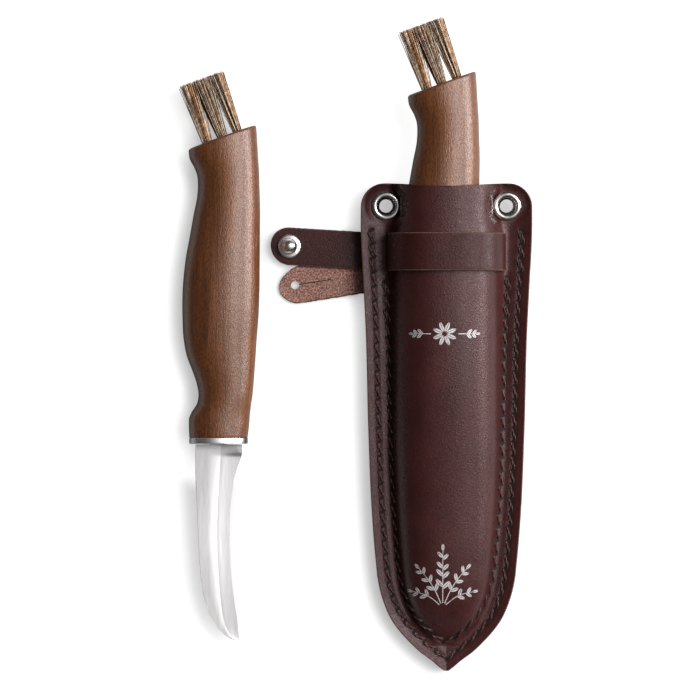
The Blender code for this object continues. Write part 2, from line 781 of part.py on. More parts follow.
def mouth_cutters_mesh():
    """The eyelets' holes and the strap's slits, through all three layers."""
    shape = bmesh.new()
    low = -CUT_OVERRUN
    high = FLANGE_Z + LEATHER_THICKNESS + CUT_OVERRUN
    half_slit = STRAP_WIDTH / 2 + 2 * FIT_GAP
    for side in (-1, 1):
        x = side * EYELET_X
        add_rod(shape, (x, EYELET_Y, low), (x, EYELET_Y, high), EYELET_HOLE_RADIUS, EYELET_SIDES)
        x = side * SLIT_X
        add_box(
            shape,
            (x - SLIT_WIDTH / 2, STRAP_Y - half_slit, low),
            (x + SLIT_WIDTH / 2, STRAP_Y + half_slit, high),
        )
    return mesh_from(shape, "mouth_cutters", smooth=False)


def eyelet_mesh():
    """A turned eyelet: a domed rim on the front, a barrel, and a lip rolled behind the washer."""
    rim_low = FLANGE_Z + LEATHER_THICKNESS + FIT_GAP
    rim_high = rim_low + EYELET_RIM_HEIGHT
    lip_high = -2 * FIT_GAP - WASHER_THICKNESS
    lip_low = lip_high - EYELET_LIP_HEIGHT
    lip_radius = (EYELET_RADIUS + EYELET_BARREL_RADIUS) / 2
    crown_reach = EYELET_CROWN_SHARE * (EYELET_RADIUS - EYELET_BARREL_RADIUS)
    profile = [
        (EYELET_BORE_RADIUS, lip_low + EYELET_LIP_HEIGHT / 2),
        (EYELET_BARREL_RADIUS, lip_low),
        (lip_radius, (lip_low + lip_high) / 2),
        (lip_radius, lip_high),
        (EYELET_BARREL_RADIUS, lip_high),
        (EYELET_BARREL_RADIUS, rim_low),
        (EYELET_RADIUS, rim_low),
        (EYELET_RADIUS, (rim_low + rim_high) / 2),
        (EYELET_BARREL_RADIUS + crown_reach, rim_high),
        (EYELET_BARREL_RADIUS, rim_high),
        (EYELET_BORE_RADIUS, (rim_low + rim_high) / 2),
    ]
    return mesh_from(revolve(profile, EYELET_SIDES), "eyelet")


def washer_mesh():
    high = -FIT_GAP
    low = high - WASHER_THICKNESS
    inner = EYELET_BARREL_RADIUS + FIT_GAP
    profile = [(inner, low), (EYELET_RADIUS, low), (EYELET_RADIUS, high), (inner, high)]
    return mesh_from(revolve(profile, EYELET_SIDES), "washer")


# Strap, level with the table: x from the sheath's middle, z from the table


def stud_side_y(x):
    """Where the run to the stud end has its middle line, left of the left slit."""
    return STRAP_LEVEL_Y - (x + SLIT_X) * math.tan(STUD_END_TILT)


def tongue_side_y(x):
    """Where the run behind the sheath to the tongue has its middle line."""
    return STRAP_LEVEL_Y + (x - SLIT_X + STRAP_BEND_RADIUS) * math.tan(TONGUE_TILT)


def strap_path():
    """The fixed strap's middle line as (x, z, y): left edge, front arch, then behind to the left."""
    radius = STRAP_BEND_RADIUS
    upper_y = STRAP_Y + STRAP_WIDTH / 2
    half_hollow, height = dome_at(upper_y)
    layers_top = FLANGE_Z + LEATHER_THICKNESS
    rise = math.sin(SHEATH_PITCH) * upper_y
    arch_low = layers_top + rise
    arch_high = layers_top + height + rise + FIT_GAP + STRAP_THICKNESS / 2 + FIT_GAP
    path = [(STRAP_FIXED_END_X, STUD_END_Z, stud_side_y(STRAP_FIXED_END_X))]
    for i in range(STRAP_BEND_STEPS + 1):
        angle = TURN / 4 * i / STRAP_BEND_STEPS
        x = -SLIT_X - radius * (1 - math.sin(angle))
        path.append((x, STUD_END_Z + radius * (1 - math.cos(angle)), stud_side_y(x)))
    for i in range(STRAP_ARCH_STEPS + 1):
        angle = math.pi * i / STRAP_ARCH_STEPS
        across = powered(math.cos(angle), 2 / STRAP_ARCH_EXPONENT)
        up = max(math.sin(angle), 0) ** (2 / STRAP_ARCH_EXPONENT)
        path.append((-SLIT_X * across, arch_low + (arch_high - arch_low) * up, STRAP_LEVEL_Y))
    for i in range(STRAP_BEND_STEPS + 1):
        angle = TURN / 4 * i / STRAP_BEND_STEPS
        x = SLIT_X - radius * (1 - math.cos(angle))
        path.append((x, TONGUE_Z + radius * (1 - math.sin(angle)), STRAP_LEVEL_Y))
    path.append((STRAP_FIXED_END_X, TONGUE_Z, tongue_side_y(STRAP_FIXED_END_X)))
    return path


def strap_band_mesh():
    path = strap_path()
    rings = []
    for i, (x, z, y) in enumerate(path):
        before, after = path[max(i - 1, 0)], path[min(i + 1, len(path) - 1)]
        along = Vector((after[0] - before[0], after[1] - before[1])).normalized()
        side_x, side_z = -along.y * STRAP_THICKNESS / 2, along.x * STRAP_THICKNESS / 2
        ring = []
        for sign, across in ((1, -1), (1, 1), (-1, 1), (-1, -1)):
            ring.append((x + sign * side_x, y + across * STRAP_WIDTH / 2, z + sign * side_z))
        rings.append(ring)
    return mesh_from(loft(rings), "strap_band")


def strap_end_mesh(length, tilt, nose_rows, name):
    """A strap end that runs left from its hinge line, which is the origin, to its shaped nose.

    nose_rows gives distance back from the tip and half-width, in metres.
    """
    half_thickness = STRAP_THICKNESS / 2
    stations = []
    for i in range(1, HINGE_STEPS + 1):
        angle = TURN / 4 * i / HINGE_STEPS
        x = half_thickness * math.cos(angle)
        stations.append((x, STRAP_WIDTH / 2, half_thickness * math.sin(angle)))
    for back, half_width in reversed(nose_rows):
        stations.append((back - length, half_width, half_thickness))
    rings = []
    for x, half_width, height in stations:
        centre = x * math.tan(tilt)
        rings.append([
            (x, centre - half_width, -height),
            (x, centre + half_width, -height),
            (x, centre + half_width, height),
            (x, centre - half_width, height),
        ])
    return mesh_from(loft(rings), name)


def round_nose():
    """A half-round nose as (distance back from the tip, half-width)."""
    radius = STRAP_WIDTH / 2
    rows = []
    for i in range(1, STRAP_END_STEPS + 1):
        angle = TURN / 4 * i / STRAP_END_STEPS
        rows.append((radius * (1 - math.cos(angle)), radius * math.sin(angle)))
    return rows


def tongue_nose():
    return [(back * TONGUE_NOSE, width * STRAP_WIDTH / 2) for back, width in TONGUE_NOSE_SHARES]


def rod_cutter_mesh(radius, reach, name):
    """A rod along Z, as far down as up."""
    shape = add_rod(bmesh.new(), (0, 0, -reach), (0, 0, reach), radius, STUD_SIDES)
    return mesh_from(shape, name, smooth=False)


def keyhole_slit_mesh(reach):
    half_width = KEYHOLE_SLIT_WIDTH / 2
    low, high = (0, -half_width, -reach), (KEYHOLE_SLIT_LENGTH, half_width, reach)
    return mesh_from(add_box(bmesh.new(), low, high), "keyhole_slit", smooth=False)


def stud_mesh():
    """Flange, neck and ball, turned, with a blind hole for the screw; z=0 on the strap's top."""
    flange_low = FIT_GAP
    flange_high = flange_low + STUD_FLANGE_THICKNESS
    neck_high = flange_high + STUD_NECK_HEIGHT
    ball_z = neck_high + STUD_BALL_RADIUS * STUD_BALL_SEAT_SHARE
    bore = SCREW_RADIUS + FIT_GAP
    bore_top = flange_low + SCREW_DEPTH_IN_STUD + FIT_GAP
    profile = [
        (0, bore_top),
        (bore, bore_top),
        (bore, flange_low),
        (STUD_FLANGE_RADIUS, flange_low),
        (STUD_FLANGE_RADIUS, flange_high - STUD_FLANGE_THICKNESS / 2),
        (STUD_FLANGE_RADIUS - STUD_FLANGE_THICKNESS / 2, flange_high),
        (STUD_NECK_RADIUS + STUD_NECK_HEIGHT / 2, flange_high),
        (STUD_NECK_RADIUS, neck_high),
    ]
    start = -math.asin(STUD_BALL_SEAT_SHARE)
    for i in range(1, STUD_BALL_STEPS):
        angle = start + (TURN / 4 - start) * i / STUD_BALL_STEPS
        height = ball_z + STUD_BALL_RADIUS * math.sin(angle)
        profile.append((STUD_BALL_RADIUS * math.cos(angle), height))
    profile.append((0, ball_z + STUD_BALL_RADIUS))
    return mesh_from(revolve(profile, STUD_SIDES), "stud")


def screw_mesh():
    """A flat-headed screw that comes up through the strap into the stud; z=0 on the strap's top."""
    head_high = -STRAP_THICKNESS - FIT_GAP
    head_low = head_high - SCREW_HEAD_THICKNESS
    profile = [
        (0, head_low),
        (SCREW_HEAD_RADIUS - SCREW_HEAD_THICKNESS / 2, head_low),
        (SCREW_HEAD_RADIUS, head_low + SCREW_HEAD_THICKNESS / 2),
        (SCREW_HEAD_RADIUS, head_high),
        (SCREW_RADIUS, head_high),
        (SCREW_RADIUS, FIT_GAP + SCREW_DEPTH_IN_STUD),
        (0, FIT_GAP + SCREW_DEPTH_IN_STUD),
    ]
    return mesh_from(revolve(profile, STUD_SIDES), "stud_screw")


def build_sheath(table, tuft):
    """The three leather layers, the eyelets and the sheathed knife, pitched on the strap."""
    sheath = add_empty("sheath", rotation=(SHEATH_PITCH, 0, 0), parent=table)
    back = plate_mesh(sheath_outline(), 0, LEATHER_THICKNESS, "back_panel")
    welt_low = LEATHER_THICKNESS + FIT_GAP
    welt = plate_mesh(welt_outline(), welt_low, welt_low + WELT_THICKNESS, "welt")
    cutter = add_cutter("mouth_cutters", mouth_cutters_mesh(), sheath)
    for name, mesh, finish in (
        ("back_panel", back, "leather"),
        ("welt", welt, "leather_core"),
        ("front_panel", front_panel_mesh(), "leather"),
    ):
        cut(add_object(name, mesh, finish, sheath), cutter)
    eyelet, washer = eyelet_mesh(), washer_mesh()
    for side, sign in (("left", -1), ("right", 1)):
        place = (sign * EYELET_X, EYELET_Y, 0)
        add_object("eyelet_" + side, eyelet, "nickel", sheath, place)
        add_object("eyelet_washer_" + side, washer, "nickel", sheath, place)
    build_knife("sheathed", sheath, (-KNIFE_SIDE_SHIFT, SHEATH_FERRULE_Y, KNIFE_PLANE_Z), tuft)


def build_strap(table):
    """The fixed strap and its two loose ends, each on an empty at its hinge line."""
    add_object("strap_band", strap_band_mesh(), "leather", table)
    reach = STRAP_THICKNESS + CUT_OVERRUN

    hinge = add_empty("stud_end_hinge", (HINGE_X, stud_side_y(HINGE_X), STUD_END_Z), parent=table)
    mesh = strap_end_mesh(STUD_END_LENGTH, -STUD_END_TILT, round_nose(), "strap_stud_end")
    stud_end = add_object("strap_stud_end", mesh, "leather", hinge)
    stud_x = STRAP_WIDTH / 2 - STUD_END_LENGTH
    place = (stud_x, -stud_x * math.tan(STUD_END_TILT), STRAP_THICKNESS / 2)
    hole = rod_cutter_mesh(SCREW_RADIUS + FIT_GAP, reach, "screw_hole")
    cut(stud_end, add_cutter("screw_hole", hole, hinge, place))
    add_object("stud", stud_mesh(), "nickel", hinge, place)
    add_object("stud_screw", screw_mesh(), "nickel", hinge, place)

    hinge = add_empty("tongue_hinge", (HINGE_X, tongue_side_y(HINGE_X), TONGUE_Z), parent=table)
    mesh = strap_end_mesh(TONGUE_LENGTH, TONGUE_TILT, tongue_nose(), "strap_tongue")
    tongue = add_object("strap_tongue", mesh, "suede", hinge)
    hole_x = KEYHOLE_FROM_TIP - TONGUE_LENGTH
    place = (hole_x, hole_x * math.tan(TONGUE_TILT), 0)
    keyhole = rod_cutter_mesh(KEYHOLE_RADIUS, reach, "keyhole")
    cut(tongue, add_cutter("keyhole", keyhole, hinge, place))
    slit = keyhole_slit_mesh(reach)
    cut(tongue, add_cutter("keyhole_slit", slit, hinge, place, (0, 0, TONGUE_TILT)))


def stand_at_origin(table):
    """Moves everything so that the middle of its box's underside is at the origin."""
    bpy.context.view_layer.update()
    graph = bpy.context.evaluated_depsgraph_get()
    corners = []
    for piece in bpy.data.objects:
        if piece.type == "MESH" and not piece.hide_render:
            mesh = piece.evaluated_get(graph).data
            corners += [piece.matrix_world @ vertex.co for vertex in mesh.vertices]
    low = [min(corner[axis] for corner in corners) for axis in range(3)]
    high = [max(corner[axis] for corner in corners) for axis in range(3)]
    table.location = (-(low[0] + high[0]) / 2, -(low[1] + high[1]) / 2, -low[2])


def main():
    clear_scene()
    table = add_empty("table")
    tuft = tuft_mesh()
    bare_place = (-BARE_KNIFE_LEFT_OF_SHEATH, BARE_KNIFE_ABOVE_TIP, HANDLE_DEPTH / 2)
    build_knife("bare", table, bare_place, tuft)
    build_sheath(table, tuft)
    build_strap(table)
    stand_at_origin(table)


main()
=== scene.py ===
"""Dresses the mushroom knife and its sheath: stained wood, satin steel, natural bristle,
dark leather with a double seam, suede and nickel, on a white table seen from straight above."""

import math
import random

import bmesh
import bpy
from mathutils import Matrix, Vector, noise
from mathutils.bvhtree import BVHTree


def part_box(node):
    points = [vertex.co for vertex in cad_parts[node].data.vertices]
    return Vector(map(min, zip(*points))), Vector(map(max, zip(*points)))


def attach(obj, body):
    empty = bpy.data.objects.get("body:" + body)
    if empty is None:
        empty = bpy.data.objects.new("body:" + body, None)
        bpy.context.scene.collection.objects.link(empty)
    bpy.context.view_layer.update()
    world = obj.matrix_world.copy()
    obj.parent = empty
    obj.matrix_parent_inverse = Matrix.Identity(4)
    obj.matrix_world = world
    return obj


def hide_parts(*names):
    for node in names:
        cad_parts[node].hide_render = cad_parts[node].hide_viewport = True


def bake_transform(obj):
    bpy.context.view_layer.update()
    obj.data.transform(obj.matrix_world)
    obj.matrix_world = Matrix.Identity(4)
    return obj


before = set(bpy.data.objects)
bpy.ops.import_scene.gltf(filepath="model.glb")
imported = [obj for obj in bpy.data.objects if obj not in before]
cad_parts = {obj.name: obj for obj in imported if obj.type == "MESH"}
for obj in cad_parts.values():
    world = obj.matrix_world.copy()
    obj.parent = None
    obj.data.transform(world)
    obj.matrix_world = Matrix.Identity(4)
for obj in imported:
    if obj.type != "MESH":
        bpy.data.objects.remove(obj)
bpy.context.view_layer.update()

TURN = 2 * math.pi
FIT_GAP = 0.0003
SEAM_GAP = 0.00003
CUT_OVERRUN = 0.002
SHARP_ANGLE = math.radians(38)

# Blade
BLADE_LENGTH = 0.0696
BLADE_WIDTH = 0.0163
BLADE_THICKNESS = 0.0020
BLADE_EDGE_THICKNESS = 0.00016
BLADE_TIP_THICKNESS = 0.0008
BLADE_SPINE_ROUND = 0.00025
BLADE_TAPER_START_SHARE = 0.55
BLADE_HOLLOW_SHARE = 0.10
HEEL_FLAT = 0.0029
PLUNGE_LENGTH = 0.0016
TANG_LENGTH = 0.066
TANG_WIDTH = 0.0060
TANG_THICKNESS = 0.0016
BLADE_STATIONS = 90
PLUNGE_STEPS = 5
BEVEL_STEPS = 4
# along the blade, then spine, grind line and edge across it
BLADE_OUTLINE_SHARES = (
    (0.000, -0.485, 0.055, 0.509),
    (0.040, -0.491, 0.055, 0.509),
    (0.060, -0.491, 0.052, 0.495),
    (0.095, -0.491, 0.043, 0.442),
    (0.165, -0.486, 0.021, 0.350),
    (0.262, -0.469, 0.000, 0.282),
    (0.388, -0.445, -0.025, 0.245),
    (0.494, -0.423, -0.028, 0.245),
    (0.600, -0.399, -0.006, 0.264),
    (0.692, -0.359, 0.018, 0.294),
    (0.798, -0.270, 0.061, 0.350),
    (0.880, -0.135, 0.117, 0.405),
    (0.930, 0.012, 0.196, 0.426),
    (0.966, 0.184, 0.300, 0.439),
    (0.985, 0.337, 0.380, 0.442),
    (1.000, 0.434, 0.438, 0.442),
)

# Ferrule and handle
FERRULE_THICKNESS = 0.0022
FERRULE_ROUND = 0.0003
HANDLE_LENGTH = 0.1038
HANDLE_WIDTH = 0.0271
HANDLE_DEPTH = 0.0180
HANDLE_END_ROUND = 0.00025
BUTT_TILT = math.radians(20.0)
BUTT_ROUND = 0.0008
HANDLE_EXPONENT = 2.15
HANDLE_SIDES = 96
HANDLE_STATIONS = 130
ROUND_STEPS = 5
# along the axis, then left and right across, depth, and how far the section has tilted
HANDLE_SECTION_SHARES = (
    (0.000, -0.373, 0.380, 0.860, 0.00),
    (0.043, -0.378, 0.399, 0.865, 0.00),
    (0.062, -0.376, 0.404, 0.868, 0.00),
    (0.080, -0.347, 0.410, 0.868, 0.00),
    (0.110, -0.275, 0.424, 0.862, 0.00),
    (0.135, -0.255, 0.439, 0.865, 0.00),
    (0.175, -0.275, 0.454, 0.880, 0.00),
    (0.220, -0.332, 0.467, 0.910, 0.00),
    (0.268, -0.402, 0.480, 0.940, 0.00),
    (0.322, -0.443, 0.493, 0.970, 0.00),
    (0.403, -0.461, 0.518, 0.995, 0.00),
    (0.493, -0.458, 0.530, 1.000, 0.00),
    (0.600, -0.417, 0.533, 0.990, 0.00),
    (0.671, -0.369, 0.535, 0.970, 0.08),
    (0.752, -0.317, 0.539, 0.945, 0.25),
    (0.818, -0.271, 0.530, 0.925, 0.43),
    (0.857, -0.262, 0.526, 0.920, 0.52),
    (0.891, -0.271, 0.517, 0.920, 0.63),
    (0.920, -0.303, 0.509, 0.925, 0.73),
    (0.964, -0.369, 0.498, 0.938, 0.88),
    (1.000, -0.384, 0.487, 0.945, 1.00),
)

# Brush
TUFT_COLUMNS = 3
TUFT_ROWS = 2
TUFT_PITCH = 0.0057
TUFT_HOLE_RADIUS = 0.00165
TUFT_HOLE_DEPTH = 0.0056
TUFT_HOLE_SIDES = 24
BRISTLES_PER_TUFT = 90
BRISTLE_LENGTH = 0.0212
BRISTLE_LENGTH_CHANGE = 0.0005
BRISTLE_RADIUS = 0.00015
BRISTLE_LEAN_IN = 0.00035
BRISTLE_STRAY = 0.00022
BRISTLE_SIDES = 4
BRISTLE_STEPS = 6
BRISTLE_OVERLAP_SHARE = 0.18
BRISTLE_SPREAD_EXPONENT = 0.95
BRISTLE_TAPER_SHARE = 0.35

# Sheath
LEATHER_THICKNESS = 0.0017
WELT_THICKNESS = 0.0016
WELT_WIDTH = 0.0084
FLANGE_WIDTH = 0.0119
TIP_ROOM = 0.0282
HANDLE_IN_SHEATH = 0.0721
MOUTH_CORNER_RADIUS = 0.0082
MOUTH_DIP = 0.0009
MOUTH_DIP_REACH = 0.010
KNIFE_SIDE_SHIFT = 0.00315
KNIFE_SIDE_PLAY = 0.0006
KNIFE_TOP_PLAY = 0.0008
DOME_FILLET = 0.0007
DOME_FILLET_SHARE = 0.3
FOOT_REACH_SHARE = 0.85
DOME_EXPONENT = 3.4
DOME_SHOWN_EXPONENT = 2.5
DOME_SHOWN_HALF_WIDTH = 0.0187
# how far below the mouth the dome still has its solid's width, and where it is at its widest
DOME_NARROW_REACH = (0.0120, 0.0205)
DOME_SEAM_ROOM = 0.0006
LIP_RISE = 0.0019
LIP_REACH = 0.0085
LIP_EXPONENT = 1.35
SEAM_INSETS = (0.0037, 0.0077)
EDGE_ROUND = 0.00045
SHEATH_STATIONS = 250
SHEATH_STATION_EXPONENT = 1.25
MOUTH_CORNER_STEPS = 14
MOUTH_STEPS = 40
FLANGE_COLUMNS = 22
DOME_COLUMNS = 30
EDGE_STEPS = 4
FOOT_SMOOTHING = 14
# along the sheath, then half its width
SHEATH_OUTLINE_SHARES = (
    (0.000, 0.027),
    (0.007, 0.081),
    (0.019, 0.160),
    (0.039, 0.313),
    (0.060, 0.438),
    (0.080, 0.542),
    (0.101, 0.630),
    (0.142, 0.737),
    (0.183, 0.798),
    (0.224, 0.825),
    (0.307, 0.865),
    (0.492, 0.912),
    (0.698, 0.943),
    (0.780, 0.966),
    (0.903, 1.000),
    (1.000, 0.997),
)
# along the sheath, then the hollow's half-width and its height over the flange
DOME_SHARES = (
    (0.051, 0.150, 0.004),
    (0.065, 0.230, 0.070),
    (0.080, 0.370, 0.165),
    (0.100, 0.550, 0.300),
    (0.120, 0.640, 0.430),
    (0.141, 0.725, 0.540),
    (0.165, 0.795, 0.610),
    (0.224, 0.880, 0.700),
    (0.350, 0.955, 0.800),
    (0.470, 0.975, 0.890),
    (0.590, 0.985, 0.970),
    (0.760, 0.992, 1.000),
    (1.000, 1.000, 1.000),
)

# Eyelets
EYELET_RADIUS = 0.0043
EYELET_BARREL_RADIUS = 0.0030
EYELET_RIM_HEIGHT = 0.0013
EYELET_SHOWN_RADIUS = 0.0050
EYELET_SHOWN_SHIFT = 0.0019
EYELET_FUNNEL_RADIUS = 0.0023
# how far round an eyelet the leather is pressed flat, and where it has come up again
EYELET_PRESS = (0.0048, 0.0077)
EYELET_FROM_MOUTH = 0.0079
EYELET_SIDES = 64
EYELET_RIM_EXPONENT = 0.45
EYELET_RIM_STEPS = 12
EYELET_FUNNEL_STEPS = 8
WASHER_THICKNESS = 0.0005

# Strap
STRAP_WIDTH = 0.0132
STRAP_THICKNESS = 0.0016
STRAP_FROM_MOUTH = 0.0241
STRAP_BEND_RADIUS = 0.0014
STRAP_ARCH_EXPONENT = 2.9
STRAP_ARCH_STEPS = 72
STRAP_BEND_STEPS = 8
STRAP_EDGE_ROUND = 0.00035
STRIP_COLUMNS = 16
RUN_STEPS = 24
SLIT_MARGIN = 0.0009
SLIT_WIDTH = 0.0024
SLIT_SHOWN_WIDTH = 0.0020
SLIT_SHOWN_SHIFT = 0.0009
HINGE_FROM_EDGE = 0.0024
STUD_END_TILT = math.radians(3.5)
STUD_END_LENGTH = 0.0291
STUD_END_RAGGED = 0.00012
TONGUE_TILT = math.radians(9.1)
TONGUE_LENGTH = 0.0262
TONGUE_NOSE = 0.0064
TONGUE_NOSE_EXPONENT = 1.6
TONGUE_RAGGED = 0.00030
RAGGED_SCALE = 900
NOSE_STEPS = 16
NOSE_BLUNT_SHARE = 0.35
KEYHOLE_RADIUS = 0.0014
KEYHOLE_FROM_TIP = 0.0056
KEYHOLE_SLIT_LENGTH = 0.0128
KEYHOLE_SLIT_WIDTH = 0.00028
KEYHOLE_SIDES = 32
# back from the tongue's tip, then half its width
TONGUE_NOSE_SHARES = (
    (0.00, 0.06),
    (0.04, 0.24),
    (0.15, 0.44),
    (0.40, 0.68),
    (0.75, 0.91),
    (1.00, 1.00),
)

# Stud and its screw
STUD_FLANGE_RADIUS = 0.0041
STUD_FLANGE_THICKNESS = 0.0008
STUD_NECK_RADIUS = 0.0016
STUD_NECK_HEIGHT = 0.0009
STUD_BALL_RADIUS = 0.0028
STUD_SEAT_SHARE = 0.8
STUD_SIDES = 64
STUD_FLANGE_STEPS = 8
STUD_NECK_STEPS = 5
STUD_BALL_STEPS = 24
SCREW_RADIUS = 0.0009
SCREW_HEAD_RADIUS = 0.0034
SCREW_HEAD_THICKNESS = 0.0008
SCREW_DEPTH_IN_STUD = 0.0016

# Seams: stitches of two plies, dark lenses of painted shade for the awl's holes between them, and the
# groove they lie in
STITCH_PITCH = 0.0049
STITCH_SLANT = 0.00076
STITCH_RISE = 0.00048
STITCH_SINK = 0.00050
STITCH_BEND_SHARE = 0.12
STITCH_ARCH_EXPONENT = 0.6
STITCH_STEPS = 12
DOUBLED_STITCHES = 3
DOUBLED_SPREAD = 0.00042
PLY_RADIUS = 0.00026
PLY_OFFSET = 0.00021
PLY_TURNS = 1.25
PLY_SIDES = 7
BACK_STITCH_Z = 0.00016
BACK_PLY_RADIUS = 0.00022
HOLE_HALF_LENGTH = 0.00115
HOLE_HALF_WIDTH = 0.00058
HOLE_STAND = 0.00002
HOLE_SLANT_SHARE = 0.45
HOLE_SIDES = 12
GROOVE_DEPTH = 0.00034
GROOVE_REACH = 0.0008
# how far from the tip each seam ends, left and right
SEAM_TOPS = ((0.1540, 0.1540), (0.1360, 0.1378))

# Silver prints: a fan of plain leaf sprigs, and a rosette between two sprigs
FOIL_STAND = 0.00003
FOIL_SINK = 0.00010
FOIL_LINE = 0.00034
LEAF_STEPS = 8
LEAF_VEIN = 0.00018
LEAF_WIDTH_SHARE = 0.30
LEAF_EXPONENT = 0.8
LEAF_TAPER_SHARE = 0.35
END_LEAF_SHARE = 0.6
STEM_STEPS = 20
STEM_TAPER_SHARE = 0.5
SPRIG_LEAF_TURN = math.radians(44)
SPRIG_STAGGER_SHARE = 0.4
# bare stem before the first pair of leaves, and in all, in spaces between two pairs
SPRIG_BARE_START_SHARE = 1.6
SPRIG_BARE_SHARE = 1.2
FAN_BASE = Vector((-0.0014, 0.0230))
FAN_START = 0.0012
# heading from straight up, length, bow, pairs of leaves, longest leaf
FAN_SPRIGS = (
    (math.radians(64), 0.0116, -0.0010, 2, 0.0032),
    (math.radians(32), 0.0156, -0.0008, 3, 0.0035),
    (0.0, 0.0196, 0.0, 4, 0.0038),
    (math.radians(-32), 0.0156, 0.0008, 3, 0.0035),
    (math.radians(-64), 0.0116, 0.0010, 2, 0.0032),
)
ROSETTE_MIDDLE = Vector((-0.0009, 0.1179))
ROSETTE_PETALS = 8
ROSETTE_START = 0.0008
ROSETTE_PETAL = 0.0034
ROSETTE_SPRIG_START = 0.0048
ROSETTE_SPRIG_LENGTH = 0.0060
ROSETTE_SPRIG_PAIRS = 2
ROSETTE_SPRIG_LEAF = 0.0026

# Textures: features per metre on each axis, then the noise's detail, roughness and distortion
WOOD_BANDS = ((150, 9, 150), 4.0, 0.55, 0.6)
WOOD_STREAKS = ((900, 30, 900), 4.0, 0.6)
WOOD_FLECKS = ((2800, 800, 2800), 2.0, 0.5)
STEEL_SCRATCHES = ((1800, 90, 1800), 4.0, 0.6)
FERRULE_SCRATCHES = ((60, 5200, 60), 4.0, 0.6)
BRISTLE_PATCHES = ((900, 160, 900), 3.0)
LEATHER_MOTTLE = ((90, 70, 90), 5.0, 0.6)
LEATHER_PEBBLES = (1900, 1900, 1900)
LEATHER_PORES = ((5200, 5200, 5200), 2.0)
LEATHER_POLISH = ((600, 600, 600), 4.0)
EDGE_FIBRE = ((1400, 1400, 3800), 5.0, 0.65)
SUEDE_NAP = ((1900, 1500, 1900), 5.0, 0.72, 0.4)
SUEDE_PATCHES = ((260, 260, 260), 3.0)
THREAD_FIBRE = ((5000, 900, 5000), 3.0, 0.6)
NICKEL_WEAR = ((700, 700, 700), 4.0, 0.6)
FOIL_WEAR = ((1500, 1500, 1500), 4.0, 0.65)
TEXTURE_SPAN = (0.3, 0.7)
WEAR_SPAN = (0.35, 0.7)

# Relief of the textures: height, then strength
WOOD_RELIEF = (0.00010, 0.8)
STEEL_RELIEF = (0.000003, 0.35)
FERRULE_RELIEF = (0.00001, 0.35)
LEATHER_RELIEF = (0.00009, 0.65)
EDGE_RELIEF = (0.0001, 0.8)
SUEDE_RELIEF = (0.0003, 0.9)
THREAD_RELIEF = (0.00008, 0.6)
FOIL_RELIEF = (0.00004, 0.5)

# Colours along a texture, as (place, colour)
WOOD_BAND_STOPS = (
    (0.30, (0.112, 0.036, 0.0105)), (0.50, (0.156, 0.054, 0.0170)), (0.72, (0.205, 0.074, 0.0245)),
)
WOOD_STREAK_STOPS = ((0.33, (0.76, 0.73, 0.71)), (0.62, (1.08, 1.06, 1.05)))
WOOD_FLECK_STOPS = ((0.36, (0.56, 0.54, 0.52)), (0.54, (1.04, 1.04, 1.04)))
SUEDE_NAP_STOPS = (
    (0.35, (0.070, 0.024, 0.018)), (0.47, (0.290, 0.125, 0.098)), (0.62, (0.680, 0.400, 0.330)),
)
SUEDE_PATCH_STOPS = ((0.3, (0.86, 0.86, 0.86)), (0.7, (1.1, 1.08, 1.06)))
THREAD_STOPS = ((0.34, (0.020, 0.009, 0.0075)), (0.66, (0.090, 0.048, 0.040)))
FOIL_STOPS = ((0.33, (0.26, 0.22, 0.22)), (0.46, (0.66, 0.63, 0.63)))
BRISTLE_STOPS = (0.38, 0.60)
LEATHER_STOPS = (0.34, 0.66)
EDGE_STOPS = (0.34, 0.64)

# Finishes: colour and roughness, or for the leathers dark, light, roughness and shine
WOOD_PLAIN = ((0.1, 0.04, 0.02), 0.4)
WOOD_SHINE = 0.72
WOOD_SHINE_TINT = (1.0, 0.86, 0.81, 1)
WOOD_ROUGHNESS_SPAN = (0.40, 0.30)
BLADE_FINISH = ((0.96, 0.945, 0.945), 0.39)
BEVEL_FINISH = ((0.53, 0.52, 0.525), 0.58)
FERRULE_FINISH = ((0.82, 0.80, 0.805), 0.36)
STEEL_ROUGHNESS_CHANGE = (-0.05, 0.07)
BRISTLE_ROUGHNESS = 0.42
BRISTLE_ROUGHNESS_SPAN = (0.5, 0.36)
LEATHER_FINISH = ((0.042, 0.0122, 0.0114), (0.058, 0.0168, 0.0158), 0.30, 0.34)
STRAP_FINISH = ((0.035, 0.0098, 0.0086), (0.049, 0.0134, 0.0115), 0.31, 0.23)
LEATHER_SHINE_TINT = (1.0, 0.84, 0.87, 1)
LEATHER_ROUGHNESS_CHANGE = (-0.06, 0.1)
CUT_EDGE_TONES = ((0.090, 0.036, 0.026), (0.270, 0.125, 0.088))
STRAP_EDGE_TONES = ((0.060, 0.024, 0.018), (0.150, 0.070, 0.052))
EDGE_ROUGHNESS = 0.82
SUEDE_PLAIN = ((0.25, 0.1, 0.08), 0.95)
SUEDE_SHEEN = (0.25, 0.6)
THREAD_PLAIN = ((0.03, 0.017, 0.013), 0.45)
THREAD_SHINE = 0.3
# near-black colour of the awl's holes: painted shade
HOLE_SHADE_PLAIN = ((0.006, 0.004, 0.004), 0.9)
NICKEL_FINISH = ((0.76, 0.73, 0.705), 0.21)
STUD_FINISH = ((0.95, 0.935, 0.925), 0.26)
SHADED_NICKEL_FINISH = ((0.34, 0.30, 0.275), 0.34)
NICKEL_ROUGHNESS_CHANGE = (-0.04, 0.08)
FOIL_PLAIN = ((0.62, 0.58, 0.58), 0.48)
FOIL_METALLIC = 0.15
# painted shade and reflection, along the blade and across the ferrule, then how bright the metal's colour
# is painted there: the blade darker towards the ferrule, the ferrule darker at both ends and brighter in
# the middle
BLADE_PAINTED_SHADE = ((-0.070, 1.0), (-0.034, 1.0), (-0.014, 0.84), (0.0, 0.78))
FERRULE_PAINTED_REFLECTION = (
    (-0.0102, 0.36), (-0.0080, 0.42), (-0.0056, 1.20), (0.0060, 1.25), (0.0086, 1.10), (0.0094, 0.16),
    (0.0104, 0.15),
)
